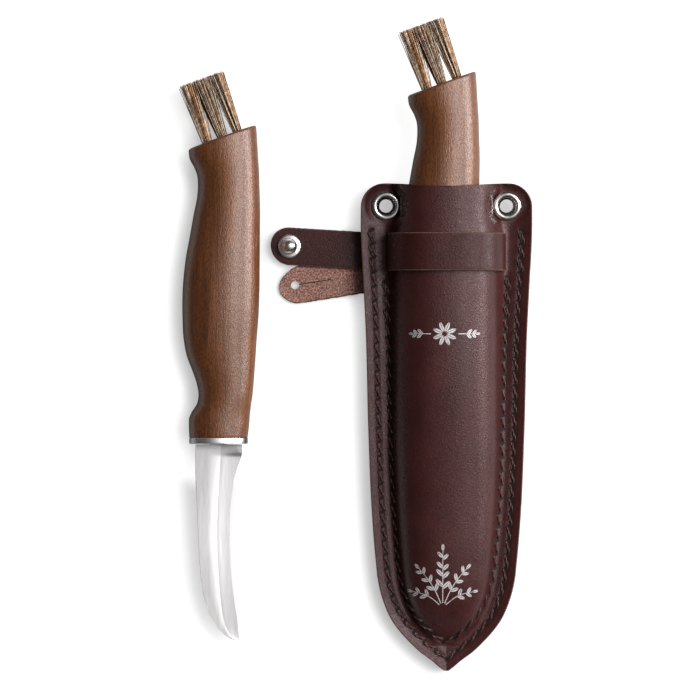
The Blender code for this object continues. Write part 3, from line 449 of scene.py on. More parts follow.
# name, root and tip of each kind of strand, and how many strands are of that kind
BRISTLE_TONES = (
    ("dark", (0.022, 0.013, 0.010), (0.085, 0.046, 0.034)),
    ("grey", (0.190, 0.140, 0.110), (0.520, 0.410, 0.330)),
    ("blonde", (0.480, 0.290, 0.140), (0.900, 0.640, 0.390)),
    ("tan", (0.220, 0.080, 0.026), (0.620, 0.270, 0.095)),
    ("pale", (0.620, 0.470, 0.340), (0.950, 0.840, 0.700)),
)
BRISTLE_MIX_SHARES = (0.30, 0.17, 0.22, 0.19, 0.12)

# Camera, table and lamps
VIEW_CENTRE = Vector((-0.00204, -0.00193, 0.0))
VIEW_WIDTH = 0.245
CAMERA_HEIGHT = 2.0
SENSOR_WIDTH = 36
TABLE_HALF_WIDTH = 2.4
TABLE_FINISH = ((0.32, 0.32, 0.32), 0.9)
TABLE_SHINE = 0.1
TABLE_LIFT = 0.90
BACKGROUND_COLOUR = (1.0, 1.0, 1.0, 1)
# the shade on the table: its reach, where its light comes from, its span, and what light is left
SHADE_REACH = 0.0100
SHADE_FROM = (0.50, 0.24, 0.83)
SHADE_SPAN = (0.40, 0.80)
SHADE_FLOOR = 0.50
BLADE_SHADE_REACH = 0.0165
BLADE_SHADE_FROM = (0.42, 0.20, 0.885)
BLADE_SHADE_SPAN = (0.62, 0.93)
BLADE_SHADE_PLACE = (-0.012, -0.046)
BLADE_SHADE_BLUR = 0.012
REFLECTED_SHADE_REACH = 0.12
REFLECTED_SHADE_SPAN = (0.70, 1.0)
REFLECTED_SHADE_FLOOR = 0.0
FILL_COLOUR = (1.0, 0.99, 0.985, 1)
FILL_STRENGTHS = (0.05, 0.76)
FILL_FROM = (0.52, 0.10, 0.848)
FILL_SPAN = (0.70, 1.0)
# name, place, size and power
LAMPS = (
    ("key", Vector((0.653, 0.264, 1.324)), (0.62, 0.62), 13.3),
    ("side", Vector((1.28, 0.22, 0.56)), (0.6, 0.5), 17.6),
)

# What the sizes above give
SHOULDER_Y = -FIT_GAP
HANDLE_FRONT_Y = FERRULE_THICKNESS + FIT_GAP
BUTT_CENTRE = Vector((0, HANDLE_FRONT_Y + HANDLE_LENGTH, 0))
BUTT_NORMAL = Vector((-math.sin(BUTT_TILT), math.cos(BUTT_TILT), 0))
BUTT_ACROSS = Vector((math.cos(BUTT_TILT), math.sin(BUTT_TILT), 0))
HANDLE_LEFT_REACH = -min(row[1] for row in HANDLE_SECTION_SHARES) * HANDLE_WIDTH
FLANGE_Z = LEATHER_THICKNESS + FIT_GAP + WELT_THICKNESS + FIT_GAP
FLANGE_TOP = FLANGE_Z + LEATHER_THICKNESS
HOLLOW_HALF_WIDTH = HANDLE_LEFT_REACH + KNIFE_SIDE_SHIFT + KNIFE_SIDE_PLAY
HOLLOW_HEIGHT = LEATHER_THICKNESS + FIT_GAP + HANDLE_DEPTH + KNIFE_TOP_PLAY - FLANGE_Z
KNIFE_PLANE_Z = LEATHER_THICKNESS + FIT_GAP + HANDLE_DEPTH / 2
DOME_HALF_WIDTH = HOLLOW_HALF_WIDTH + LEATHER_THICKNESS
SHEATH_HALF_WIDTH = DOME_HALF_WIDTH + FLANGE_WIDTH
SHEATH_FERRULE_Y = TIP_ROOM + BLADE_LENGTH
SHEATH_LENGTH = SHEATH_FERRULE_Y + HANDLE_IN_SHEATH
SHEATH_SIDE_LENGTH = SHEATH_LENGTH - MOUTH_CORNER_RADIUS
EYELET_X = DOME_HALF_WIDTH + DOME_FILLET + EYELET_RADIUS - EYELET_SHOWN_SHIFT
EYELET_Y = SHEATH_LENGTH - EYELET_FROM_MOUTH
STRAP_Y = SHEATH_LENGTH - STRAP_FROM_MOUTH
SLIT_X = DOME_HALF_WIDTH + DOME_FILLET + SLIT_MARGIN + SLIT_WIDTH / 2 - SLIT_SHOWN_SHIFT
TONGUE_Z = STRAP_THICKNESS / 2
STUD_END_Z = TONGUE_Z + STRAP_THICKNESS + FIT_GAP
STACK_HEIGHT = STUD_END_Z + STRAP_THICKNESS / 2 + FIT_GAP
SHEATH_PITCH = math.atan2(STACK_HEIGHT, STRAP_Y - STRAP_WIDTH / 2)
STRAP_LEVEL_Y = STRAP_Y * math.cos(SHEATH_PITCH)
HINGE_X = -(SHEATH_HALF_WIDTH + HINGE_FROM_EDGE)
STRAP_JOIN_X = -(SHEATH_HALF_WIDTH - STRAP_THICKNESS)

# Where the model has the sheath, the strap and both knives
back_low, back_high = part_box("back_panel")
ferrule_low, ferrule_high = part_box("bare_ferrule")
ON_TABLE = Matrix.Translation((
    (back_low[0] + back_high[0]) / 2,
    back_low[1] + LEATHER_THICKNESS * math.sin(SHEATH_PITCH),
    0,
))
IN_SHEATH = ON_TABLE @ Matrix.Rotation(SHEATH_PITCH, 4, "X")
FERRULE_MIDDLE_SHARE = (HANDLE_SECTION_SHARES[0][1] + HANDLE_SECTION_SHARES[0][2]) / 2
BARE_KNIFE = Matrix.Translation((
    (ferrule_low[0] + ferrule_high[0]) / 2 - FERRULE_MIDDLE_SHARE * HANDLE_WIDTH,
    ferrule_low[1],
    (ferrule_low[2] + ferrule_high[2]) / 2,
))
SHEATHED_KNIFE = IN_SHEATH @ Matrix.Translation((-KNIFE_SIDE_SHIFT, SHEATH_FERRULE_Y, KNIFE_PLANE_Z))


# Shape helpers


def table_value(rows, at):
    """A row of a table of shares at any place along its first column, on a smooth curve."""
    last = len(rows) - 1
    index = 0
    while index < last - 1 and at > rows[index + 1][0]:
        index += 1
    start, end = rows[index], rows[index + 1]
    span = end[0] - start[0]
    t = held((at - start[0]) / span)

    def slope(i, column):
        before, here, after = rows[max(i - 1, 0)], rows[i], rows[min(i + 1, last)]
        if i == 0:
            return (after[column] - here[column]) / (after[0] - here[0])
        if i == last:
            return (here[column] - before[column]) / (here[0] - before[0])
        left_span, right_span = here[0] - before[0], after[0] - here[0]
        left = (here[column] - before[column]) / left_span
        right = (after[column] - here[column]) / right_span
        return (left * right_span + right * left_span) / (left_span + right_span)

    row = []
    for column in range(1, len(start)):
        a, b = start[column], end[column]
        slope_a, slope_b = slope(index, column) * span, slope(index + 1, column) * span
        square, cube = t * t, t * t * t
        row.append(
            a * (2 * cube - 3 * square + 1)
            + slope_a * (cube - 2 * square + t)
            + b * (3 * square - 2 * cube)
            + slope_b * (cube - square)
        )
    return row


def powered(value, exponent):
    return math.copysign(abs(value) ** exponent, value)


def held(value):
    """The value kept between 0 and 1."""
    return min(max(value, 0), 1)


def eased(share):
    """A share of 0 to 1 that starts and ends gently."""
    return share * share * (3 - 2 * share)


def quarter(steps):
    """Sine and cosine at even steps through a quarter turn, ends included."""
    angles = [TURN / 4 * i / steps for i in range(steps + 1)]
    return [(math.sin(angle), math.cos(angle)) for angle in angles]


def square_to(along):
    """The flat direction a quarter turn left of another."""
    return Vector((-along.y, along.x))


def mirrored(point):
    return Vector((-point.x, point.y))


def superellipse(half_width, half_depth, exponent, sides):
    """Points round a superellipse, as (across, up) pairs."""
    points = []
    for i in range(sides):
        angle = TURN * i / sides
        across = half_width * powered(math.cos(angle), 2 / exponent)
        points.append((across, half_depth * powered(math.sin(angle), 2 / exponent)))
    return points


def loft(rings, shape=None, slot=0):
    """A closed body through rings of equally many points, capped at both ends.

    slot is the material of all its sides, or a list with one for each side of the rings.
    """
    shape = shape or bmesh.new()
    placed = [[shape.verts.new(point) for point in ring] for ring in rings]
    count = len(placed[0])
    slots = slot if isinstance(slot, list) else [slot] * count
    for low, high in zip(placed, placed[1:]):
        for i in range(count):
            j = (i + 1) % count
            shape.faces.new((low[i], low[j], high[j], high[i])).material_index = slots[i]
    shape.faces.new(placed[0][::-1]).material_index = slots[-1]
    shape.faces.new(placed[-1]).material_index = slots[-1]
    return shape


def revolve(profile, sides):
    """A closed body turned about Z from a closed profile of (radius, height) points."""
    shape = bmesh.new()
    columns = []
    for radius, height in profile:
        if radius == 0:
            columns.append([shape.verts.new((0, 0, height))] * sides)
            continue
        angles = [TURN * i / sides for i in range(sides)]
        columns.append([
            shape.verts.new((radius * math.cos(a), radius * math.sin(a), height)) for a in angles
        ])
    pairs = list(zip(columns, columns[1:]))
    if profile[0][0] > 0:
        pairs.append((columns[-1], columns[0]))
    for low, high in pairs:
        for i in range(sides):
            j = (i + 1) % sides
            corners = list(dict.fromkeys((low[i], low[j], high[j], high[i])))
            if len(corners) > 2:
                shape.faces.new(corners)
    return shape


def add_box(shape, low, high):
    """A block between two corners."""
    made = bmesh.ops.create_cube(shape, size=1)["verts"]
    size = Vector(high) - Vector(low)
    middle = Matrix.Translation((Vector(high) + Vector(low)) / 2)
    bmesh.ops.transform(shape, matrix=middle @ Matrix.Diagonal((*size, 1)), verts=made)
    return shape


def add_rod(shape, start, end, radius, sides):
    """A round rod from one point to another."""
    axis = Vector(end) - Vector(start)
    made = bmesh.ops.create_cone(
        shape, cap_ends=True, segments=sides, radius1=radius, radius2=radius, depth=axis.length
    )["verts"]
    turn = Vector((0, 0, 1)).rotation_difference(axis).to_matrix().to_4x4()
    middle = Matrix.Translation((Vector(start) + Vector(end)) / 2)
    bmesh.ops.transform(shape, matrix=middle @ turn, verts=made)
    return shape


def mesh_from(shape, name):
    """A smooth-shaded mesh from a bmesh, faces out, with its hard edges kept sharp."""
    bmesh.ops.recalc_face_normals(shape, faces=shape.faces)
    mesh = bpy.data.meshes.new(name)
    shape.to_mesh(mesh)
    shape.free()
    mesh.shade_smooth()
    mesh.set_sharp_from_angle(angle=SHARP_ANGLE)
    return mesh


def without(mesh, cutter_shape):
    """The mesh with a closed shape, or several that lie apart, cut out of it."""
    pieces = []
    for part in (mesh, mesh_from(cutter_shape, "cutter")):
        piece = bpy.data.objects.new(part.name, part)
        bpy.context.scene.collection.objects.link(piece)
        pieces.append(piece)
    difference = pieces[0].modifiers.new("cut", "BOOLEAN")
    difference.operation = "DIFFERENCE"
    difference.solver = "EXACT"
    difference.object = pieces[1]
    evaluated = pieces[0].evaluated_get(bpy.context.evaluated_depsgraph_get())
    made = bpy.data.meshes.new_from_object(evaluated)
    made.name = mesh.name
    for piece in pieces:
        bpy.data.objects.remove(piece, do_unlink=True)
    made.set_sharp_from_angle(angle=SHARP_ANGLE)
    return made


def add_piece(name, mesh, place, materials, body=None, nodes=()):
    """A piece at its place, in its materials; it rides on a body and stands for the named solids."""
    piece = bpy.data.objects.new(name, mesh)
    piece.matrix_world = place
    for material in materials:
        mesh.materials.append(material)
    bpy.context.scene.collection.objects.link(piece)
    if body:
        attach(piece, body)
    if nodes:
        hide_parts(*nodes)
    return piece


# Materials


def add_node(tree, kind, inputs=(), **settings):
    """A shader node; an input's value may be another node's output."""
    made = tree.nodes.new(kind)
    for key, value in settings.items():
        setattr(made, key, value)
    for key, value in dict(inputs).items():
        if isinstance(value, bpy.types.NodeSocket):
            tree.links.new(value, made.inputs[key])
        else:
            made.inputs[key].default_value = value
    return made


def new_material(name, colour, roughness, metallic=0.0, **constants):
    """A material with its shader's plain values; returns it, its tree and its shader."""
    material = bpy.data.materials.new(name)
    material.use_nodes = True
    shader = material.node_tree.nodes["Principled BSDF"]
    shader.inputs["Base Color"].default_value = (*colour, 1)
    shader.inputs["Roughness"].default_value = roughness
    shader.inputs["Metallic"].default_value = metallic
    for key, value in constants.items():
        shader.inputs[key.replace("_", " ")].default_value = value
    return material, material.node_tree, shader


def stretched(tree, scale):
    """The object's own coordinates, stretched: features are 1/scale metres long on each axis."""
    place = add_node(tree, "ShaderNodeTexCoord").outputs["Object"]
    return add_node(tree, "ShaderNodeMapping", {"Vector": place, "Scale": scale}).outputs[0]


def noise_at(tree, scale, detail, roughness=0.5, distortion=0.0):
    """The value, 0 to 1, of one of the textures."""
    made = add_node(tree, "ShaderNodeTexNoise", {
        "Vector": stretched(tree, scale), "Scale": 1.0, "Detail": detail,
        "Roughness": roughness, "Distortion": distortion,
    })
    return made.outputs["Fac"]


def ramp(tree, value, stops):
    """Colours along a value: stops are (place, colour)."""
    made = add_node(tree, "ShaderNodeValToRGB", {"Fac": value})
    elements = made.color_ramp.elements
    while len(elements) < len(stops):
        elements.new(1.0)
    for element, (place, colour) in zip(elements, stops):
        element.position = place
        element.color = (*colour, 1)
    return made.outputs["Color"]


def ranged(tree, value, low, high, to_low, to_high):
    """The value's span from low to high, spread over another span and held there."""
    return add_node(tree, "ShaderNodeMapRange", {
        "Value": value, "From Min": low, "From Max": high, "To Min": to_low, "To Max": to_high,
    }).outputs["Result"]


def multiplied(tree, first, second):
    """Two colours multiplied; either may be a plain one."""
    made = tree.nodes.new("ShaderNodeMix")
    made.data_type = "RGBA"
    made.blend_type = "MULTIPLY"
    made.inputs[0].default_value = 1.0
    for index, value in ((6, first), (7, second)):
        if isinstance(value, bpy.types.NodeSocket):
            tree.links.new(value, made.inputs[index])
        else:
            made.inputs[index].default_value = (*value, 1)
    return made.outputs[2]


def summed(tree, first, second, kind="ADD"):
    return add_node(tree, "ShaderNodeMath", {0: first, 1: second}, operation=kind).outputs[0]


def coloured(tree, shader, value, stops):
    """The base colour follows a value along its stops."""
    tree.links.new(ramp(tree, value, list(stops)), shader.inputs["Base Color"])


def roughened(tree, shader, value, ends, span=TEXTURE_SPAN):
    """The roughness goes from one end to the other over the value's span."""
    tree.links.new(ranged(tree, value, *span, *ends), shader.inputs["Roughness"])


def bumped(tree, shader, height, distance, strength):
    """Height of 0 to 1 stands distance metres out of the surface."""
    bump = add_node(tree, "ShaderNodeBump", {
        "Height": height, "Distance": distance, "Strength": strength,
    })
    tree.links.new(bump.outputs["Normal"], shader.inputs["Normal"])


def wood_material():
    """Stained fine-pored hardwood: the grain runs along Y, with short dark flecks."""
    material, tree, shader = new_material(
        "stained_wood", *WOOD_PLAIN, Specular_IOR_Level=WOOD_SHINE, Specular_Tint=WOOD_SHINE_TINT,
    )
    textures = [noise_at(tree, *texture) for texture in (WOOD_BANDS, WOOD_STREAKS, WOOD_FLECKS)]
    stops = (WOOD_BAND_STOPS, WOOD_STREAK_STOPS, WOOD_FLECK_STOPS)
    base, streak, fleck = (ramp(tree, value, row) for value, row in zip(textures, stops))
    colour = multiplied(tree, multiplied(tree, base, streak), fleck)
    tree.links.new(colour, shader.inputs["Base Color"])
    roughened(tree, shader, textures[2], WOOD_ROUGHNESS_SPAN)
    bumped(tree, shader, summed(tree, textures[2], textures[1]), *WOOD_RELIEF)
    return material


def steel_material(name, finish, texture, relief, shades=(), axis="Y"):
    """Ground steel, with fine scratches across the texture's short features; where shades are given, its
    colour is painted darker or brighter along an axis, as painted shade and reflection.
    """
    colour, roughness = finish
    material, tree, shader = new_material(name, colour, roughness, 1.0)
    scratches = noise_at(tree, *texture)
    # painted shade and reflection: the colour is darkened or brightened along one axis
    if shades:
        place = add_node(tree, "ShaderNodeTexCoord").outputs["Object"]
        along = add_node(tree, "ShaderNodeSeparateXYZ", {0: place}).outputs[axis]
        low, high = shades[0][0], shades[-1][0]
        share = ranged(tree, along, low, high, 0, 1)
        stops = [((at - low) / (high - low), (shade,) * 3) for at, shade in shades]
        painted_tone = ramp(tree, share, stops)
        tree.links.new(multiplied(tree, painted_tone, colour), shader.inputs["Base Color"])
    roughened(tree, shader, scratches, [roughness + change for change in STEEL_ROUGHNESS_CHANGE])
    bumped(tree, shader, scratches, *relief)
    return material


def bristle_material(name, root, tip):
    """A strand's colour, darker in patches along it."""
    material, tree, shader = new_material(name, tip, BRISTLE_ROUGHNESS)
    patches = noise_at(tree, *BRISTLE_PATCHES)
    coloured(tree, shader, patches, zip(BRISTLE_STOPS, (root, tip)))
    roughened(tree, shader, patches, BRISTLE_ROUGHNESS_SPAN)
    return material


def leather_material(name, dark, light, roughness, shine):
    """Smooth dyed leather: a fine pebbled grain with pores and faint mottling."""
    material, tree, shader = new_material(
        name, light, roughness, Specular_IOR_Level=shine, Specular_Tint=LEATHER_SHINE_TINT,
    )
    mottle = noise_at(tree, *LEATHER_MOTTLE)
    grain = add_node(tree, "ShaderNodeTexVoronoi", {
        "Vector": stretched(tree, LEATHER_PEBBLES), "Scale": 1.0, "Randomness": 1.0,
    }, feature="SMOOTH_F1").outputs["Distance"]
    pores = noise_at(tree, *LEATHER_PORES)
    coloured(tree, shader, mottle, zip(LEATHER_STOPS, (dark, light)))
    ends = [roughness + change for change in LEATHER_ROUGHNESS_CHANGE]
    roughened(tree, shader, noise_at(tree, *LEATHER_POLISH), ends)
    bumped(tree, shader, summed(tree, grain, pores), *LEATHER_RELIEF)
    return material


def cut_edge_material(name, dark, light):
    """The cut edge of leather: bundles of fibre, matte."""
    material, tree, shader = new_material(name, light, EDGE_ROUGHNESS)
    fibre = noise_at(tree, *EDGE_FIBRE)
    coloured(tree, shader, fibre, zip(EDGE_STOPS, (dark, light)))
    bumped(tree, shader, fibre, *EDGE_RELIEF)
    return material


def suede_material():
    """The flesh side: a short nap with light and dark tufts."""
    weight, roughness = SUEDE_SHEEN
    material, tree, shader = new_material(
        "suede_nap", *SUEDE_PLAIN, Sheen_Weight=weight, Sheen_Roughness=roughness,
    )
    nap = noise_at(tree, *SUEDE_NAP)
    patches = noise_at(tree, *SUEDE_PATCHES)
    colour = ramp(tree, nap, SUEDE_NAP_STOPS)
    shade = ramp(tree, patches, SUEDE_PATCH_STOPS)
    tree.links.new(multiplied(tree, colour, shade), shader.inputs["Base Color"])
    bumped(tree, shader, nap, *SUEDE_RELIEF)
    return material


def thread_material():
    """Waxed twisted thread."""
    material, tree, shader = new_material(
        "waxed_thread", *THREAD_PLAIN, Specular_IOR_Level=THREAD_SHINE,
    )
    fibre = noise_at(tree, *THREAD_FIBRE)
    coloured(tree, shader, fibre, THREAD_STOPS)
    bumped(tree, shader, fibre, *THREAD_RELIEF)
    return material


def nickel_material(name, colour, roughness):
    """Plated metal whose shine is worn in patches."""
    material, tree, shader = new_material(name, colour, roughness, 1.0)
    wear = noise_at(tree, *NICKEL_WEAR)
    ends = [roughness + change for change in NICKEL_ROUGHNESS_CHANGE]
    roughened(tree, shader, wear, ends, WEAR_SPAN)
    return material


def foil_material():
    """Stamped silver foil that the leather's grain shows through."""
    material, tree, shader = new_material("silver_foil", *FOIL_PLAIN, FOIL_METALLIC)
    wear = noise_at(tree, *FOIL_WEAR)
    coloured(tree, shader, wear, FOIL_STOPS)
    bumped(tree, shader, wear, *FOIL_RELIEF)
    return material


WOOD = wood_material()
# the blade's colour carries painted shade and the ferrule's painted reflection, from their tables above
STEEL = steel_material(
    "satin_steel", BLADE_FINISH, STEEL_SCRATCHES, STEEL_RELIEF, BLADE_PAINTED_SHADE,
)
BEVEL_STEEL = steel_material("bevel_steel", BEVEL_FINISH, STEEL_SCRATCHES, STEEL_RELIEF)
FERRULE_METAL = steel_material(
    "brushed_ferrule", FERRULE_FINISH, FERRULE_SCRATCHES, FERRULE_RELIEF, FERRULE_PAINTED_REFLECTION, "X",
)
BRISTLES = [bristle_material("bristle_" + name, root, tip) for name, root, tip in BRISTLE_TONES]
LEATHER = leather_material("dyed_leather", *LEATHER_FINISH)
STRAP_LEATHER = leather_material("strap_leather", *STRAP_FINISH)
CUT_EDGE = cut_edge_material("cut_leather", *CUT_EDGE_TONES)
STRAP_EDGE = cut_edge_material("strap_edge", *STRAP_EDGE_TONES)
SUEDE = suede_material()
THREAD = thread_material()
# painted shade for the awl's holes
HOLE_PAINTED_SHADE = new_material("painted_hole_shade", *HOLE_SHADE_PLAIN)[0]
NICKEL = nickel_material("polished_nickel", *NICKEL_FINISH)
STUD_NICKEL = nickel_material("stud_nickel", *STUD_FINISH)
NICKEL_SHADED = new_material("shaded_nickel", *SHADED_NICKEL_FINISH, 1.0)[0]
FOIL = foil_material()


# The table's look, the camera and the lamps


def build_camera():
    """A camera straight above the layout."""
    data = bpy.data.cameras.new("camera")
    data.sensor_width = SENSOR_WIDTH
    data.lens = SENSOR_WIDTH * CAMERA_HEIGHT / VIEW_WIDTH
    camera = bpy.data.objects.new("camera", data)
    camera.location = VIEW_CENTRE + Vector((0, 0, CAMERA_HEIGHT))
    bpy.context.scene.collection.objects.link(camera)
    bpy.context.scene.camera = camera


def aimed(tree, way):
    """A direction as a node's output."""
    x, y, z = way
    return add_node(tree, "ShaderNodeCombineXYZ", {"X": x, "Y": y, "Z": z}).outputs[0]


def shaded_strength(tree, aim, reach, span, least):
    """The table's strength, less where the object hides the light that comes along aim."""
    shade = add_node(tree, "ShaderNodeAmbientOcclusion", {"Distance": reach, "Normal": aim})
    return ranged(tree, shade.outputs["AO"], *span, TABLE_LIFT * least, TABLE_LIFT)


def blade_shade(tree):
    """The table's strength beside the bare blade, which lies higher and so shades further off."""
    place = add_node(tree, "ShaderNodeNewGeometry").outputs["Position"]
    along = add_node(tree, "ShaderNodeSeparateXYZ", {0: place}).outputs
    left, low = (
        ranged(tree, along[axis], at - BLADE_SHADE_BLUR, at, 0, TABLE_LIFT)
        for axis, at in zip("XY", BLADE_SHADE_PLACE)
    )
    aim = aimed(tree, BLADE_SHADE_FROM)
    lift = shaded_strength(tree, aim, BLADE_SHADE_REACH, BLADE_SHADE_SPAN, SHADE_FLOOR)
    return summed(tree, lift, summed(tree, left, low, "MAXIMUM"), "MAXIMUM")


def build_table():
    """A white table whose colour is lifted for the camera, less where the object shades it."""
    shape = bmesh.new()
    corners = ((-1, -1), (1, -1), (1, 1), (-1, 1))
    shape.faces.new([
        shape.verts.new((x * TABLE_HALF_WIDTH, y * TABLE_HALF_WIDTH, 0)) for x, y in corners
    ])
    table = bpy.data.objects.new("table_top", mesh_from(shape, "table_top"))
    bpy.context.scene.collection.objects.link(table)
    material, tree, shader = new_material(
        "white_table", *TABLE_FINISH, Specular_IOR_Level=TABLE_SHINE, Emission_Color=BACKGROUND_COLOUR,
    )
    path = add_node(tree, "ShaderNodeLightPath").outputs
    reflected = summed(tree, path["Is Glossy Ray"], path["Is Transmission Ray"], "MAXIMUM")
    aim = aimed(tree, SHADE_FROM)
    straight = shaded_strength(tree, aim, SHADE_REACH, SHADE_SPAN, SHADE_FLOOR)
    straight = summed(tree, straight, blade_shade(tree), "MINIMUM")
    seen = summed(tree, path["Is Camera Ray"], straight, "MULTIPLY")
    mirror = shaded_strength(
        tree, aim, REFLECTED_SHADE_REACH, REFLECTED_SHADE_SPAN, REFLECTED_SHADE_FLOOR,
    )
    mirror = summed(tree, reflected, mirror, "MULTIPLY")
    tree.links.new(summed(tree, seen, mirror, "MAXIMUM"), shader.inputs["Emission Strength"])
    table.data.materials.append(material)


def build_world():
    """A fill that is brightest above and to the right, and dark on the left."""
    world = bpy.data.worlds.new("studio")
    world.use_nodes = True
    tree = world.node_tree
    tree.nodes.clear()
    way = add_node(tree, "ShaderNodeTexCoord").outputs["Generated"]
    facing = add_node(tree, "ShaderNodeVectorMath", {0: way, 1: FILL_FROM}, operation="DOT_PRODUCT")
    strength = ranged(tree, facing.outputs["Value"], *FILL_SPAN, *FILL_STRENGTHS)
    fill = add_node(tree, "ShaderNodeBackground", {"Color": FILL_COLOUR, "Strength": strength})
    out = tree.nodes.new("ShaderNodeOutputWorld")
    tree.links.new(fill.outputs[0], out.inputs[0])
    bpy.context.scene.world = world


def add_lamp(name, place, size, power):
    """A soft rectangular lamp that faces the layout."""
    data = bpy.data.lights.new(name, "AREA")
    data.shape = "RECTANGLE"
    data.size, data.size_y = size
    data.energy = power
    lamp = bpy.data.objects.new(name, data)
    lamp.location = place
    lamp.rotation_euler = (VIEW_CENTRE - place).to_track_quat("-Z", "Y").to_euler()
    bpy.context.scene.collection.objects.link(lamp)


build_camera()
build_table()
build_world()
for lamp in LAMPS:
    add_lamp(*lamp)
bpy.context.scene.view_settings.view_transform = "Standard"


# Knife, in its own frame: the ferrule's front face at the origin, +Y to the butt


def blade_ring(y, spine, grind, edge, thickness, edge_thickness, bevel):
    """The blade's section, round from the spine; bevel is the share of the hollow that it has."""
    up, low, ease = thickness / 2, edge_thickness / 2, min(BLADE_SPINE_ROUND, thickness / 3)
    face = [(spine, up - ease), (spine + ease, up), ((spine + grind) / 2, up), (grind, up)]
    for step in range(1, BEVEL_STEPS):
        t = step / BEVEL_STEPS
        hollow = BLADE_HOLLOW_SHARE * bevel * (up - low) * math.sin(math.pi * t)
        face.append((grind + (edge - grind) * t, up + (low - up) * t - hollow))
    face.append((edge, low))
    return [(x, y, z) for x, z in face] + [(x, y, -z) for x, z in reversed(face)]


def blade_mesh():
    """Stick tang, heel, plunge and a lightly hollow bevel on both faces, with an eased spine."""
    half = TANG_WIDTH / 2
    rings = [
        blade_ring(y, -wide, 0, wide, TANG_THICKNESS, TANG_THICKNESS, 0)
        for y, wide in ((TANG_LENGTH, half / 2), (TANG_LENGTH - half, half), (SHOULDER_Y + SEAM_GAP, half))
    ]
    flat_share = HEEL_FLAT / BLADE_LENGTH
    ground_share = (HEEL_FLAT + PLUNGE_LENGTH) / BLADE_LENGTH
    places = [0, flat_share]
    for i in range(1, PLUNGE_STEPS):
        places.append(flat_share + (ground_share - flat_share) * i / PLUNGE_STEPS)
    places.append(ground_share)
    for i in range(1, BLADE_STATIONS + 1):
        t = i / BLADE_STATIONS
        places.append(ground_share + (1 - ground_share) * math.sin(t * TURN / 4))
    for share in places:
        spine, grind, edge = (v * BLADE_WIDTH for v in table_value(BLADE_OUTLINE_SHARES, share))
        taper = max(0, (share - BLADE_TAPER_START_SHARE) / (1 - BLADE_TAPER_START_SHARE))
        thickness = BLADE_THICKNESS + (BLADE_TIP_THICKNESS - BLADE_THICKNESS) * taper
        sunk = math.sin(held((share - flat_share) / (ground_share - flat_share)) * TURN / 4)
        edge_thickness = BLADE_THICKNESS + (BLADE_EDGE_THICKNESS - BLADE_THICKNESS) * sunk
        y = SHOULDER_Y + SEAM_GAP - share * (BLADE_LENGTH - FIT_GAP)
        edge_thickness = min(edge_thickness, thickness)
        rings.append(blade_ring(y, spine, grind, edge, thickness, edge_thickness, sunk))
    bevels = [1] * (2 * BEVEL_STEPS + 1)
    flats = (len(rings[0]) - len(bevels)) // 2
    sides = [0] * flats + bevels + [0] * (flats + 1)
    return mesh_from(loft(rings, slot=sides), "blade")


def handle_section(share):
    """Middle, half-width, half-depth and tilt of the handle's section at a share of its axis."""
    left, right, depth, tilt = table_value(HANDLE_SECTION_SHARES, share)
    middle = (left + right) / 2 * HANDLE_WIDTH
    half_width = (right - left) / 2 * HANDLE_WIDTH
    return middle, half_width, depth * HANDLE_DEPTH / 2, tilt * BUTT_TILT


def handle_ring(share, inset=0, back=0):
    """The handle's section in its tilted plane, drawn in by inset and moved back."""
    middle, half_width, half_depth, tilt = handle_section(share)
    y = HANDLE_FRONT_Y + share * HANDLE_LENGTH - back / math.cos(tilt)
    points = []
    outline = superellipse(half_width - inset, half_depth - inset, HANDLE_EXPONENT, HANDLE_SIDES)
    for across, up in outline:
        x = middle + across
        points.append((x, y + x * math.tan(tilt), up))
    return points


def add_tang_slot(shape, start, end):
    """The tang's room, from one place along the knife to another."""
    half_width, half_depth = TANG_WIDTH / 2 + FIT_GAP, TANG_THICKNESS / 2 + FIT_GAP
    return add_box(shape, (-half_width, start, -half_depth), (half_width, end, half_depth))


def handle_mesh():
    """Wood from the ferrule to the eased butt, with the tufts' holes."""
    front = -(FIT_GAP - SEAM_GAP)
    round_share = BUTT_ROUND / math.cos(BUTT_TILT) / HANDLE_LENGTH
    rings = []
    for sine, cosine in quarter(ROUND_STEPS)[:-1]:
        back = -(front + HANDLE_END_ROUND * (1 - cosine))
        rings.append(handle_ring(0, HANDLE_END_ROUND * (1 - sine), back))
    front_share = (front + HANDLE_END_ROUND) / HANDLE_LENGTH
    span = 1 - round_share - front_share
    for i in range(HANDLE_STATIONS):
        rings.append(handle_ring(front_share + span * i / (HANDLE_STATIONS - 1)))
    for sine, cosine in quarter(ROUND_STEPS)[1:]:
        rings.append(handle_ring(1, BUTT_ROUND * (1 - cosine), BUTT_ROUND * (1 - sine)))
    hollows = bmesh.new()
    for place in tuft_places():
        bottom, top = place - BUTT_NORMAL * TUFT_HOLE_DEPTH, place + BUTT_NORMAL * CUT_OVERRUN
        add_rod(hollows, bottom, top, TUFT_HOLE_RADIUS, TUFT_HOLE_SIDES)
    add_tang_slot(hollows, HANDLE_FRONT_Y - CUT_OVERRUN, TANG_LENGTH + FIT_GAP)
    return without(mesh_from(loft(rings), "handle"), hollows)


def tuft_places():
    """Where the tufts' holes open on the butt: two rows of three."""
    middle = handle_section(1)[0] / math.cos(BUTT_TILT)
    places = []
    for row in range(TUFT_ROWS):
        for column in range(TUFT_COLUMNS):
            across = middle + (column - (TUFT_COLUMNS - 1) / 2) * TUFT_PITCH
            up = (row - (TUFT_ROWS - 1) / 2) * TUFT_PITCH
            places.append(BUTT_CENTRE + BUTT_ACROSS * across + Vector((0, 0, up)))
    return places


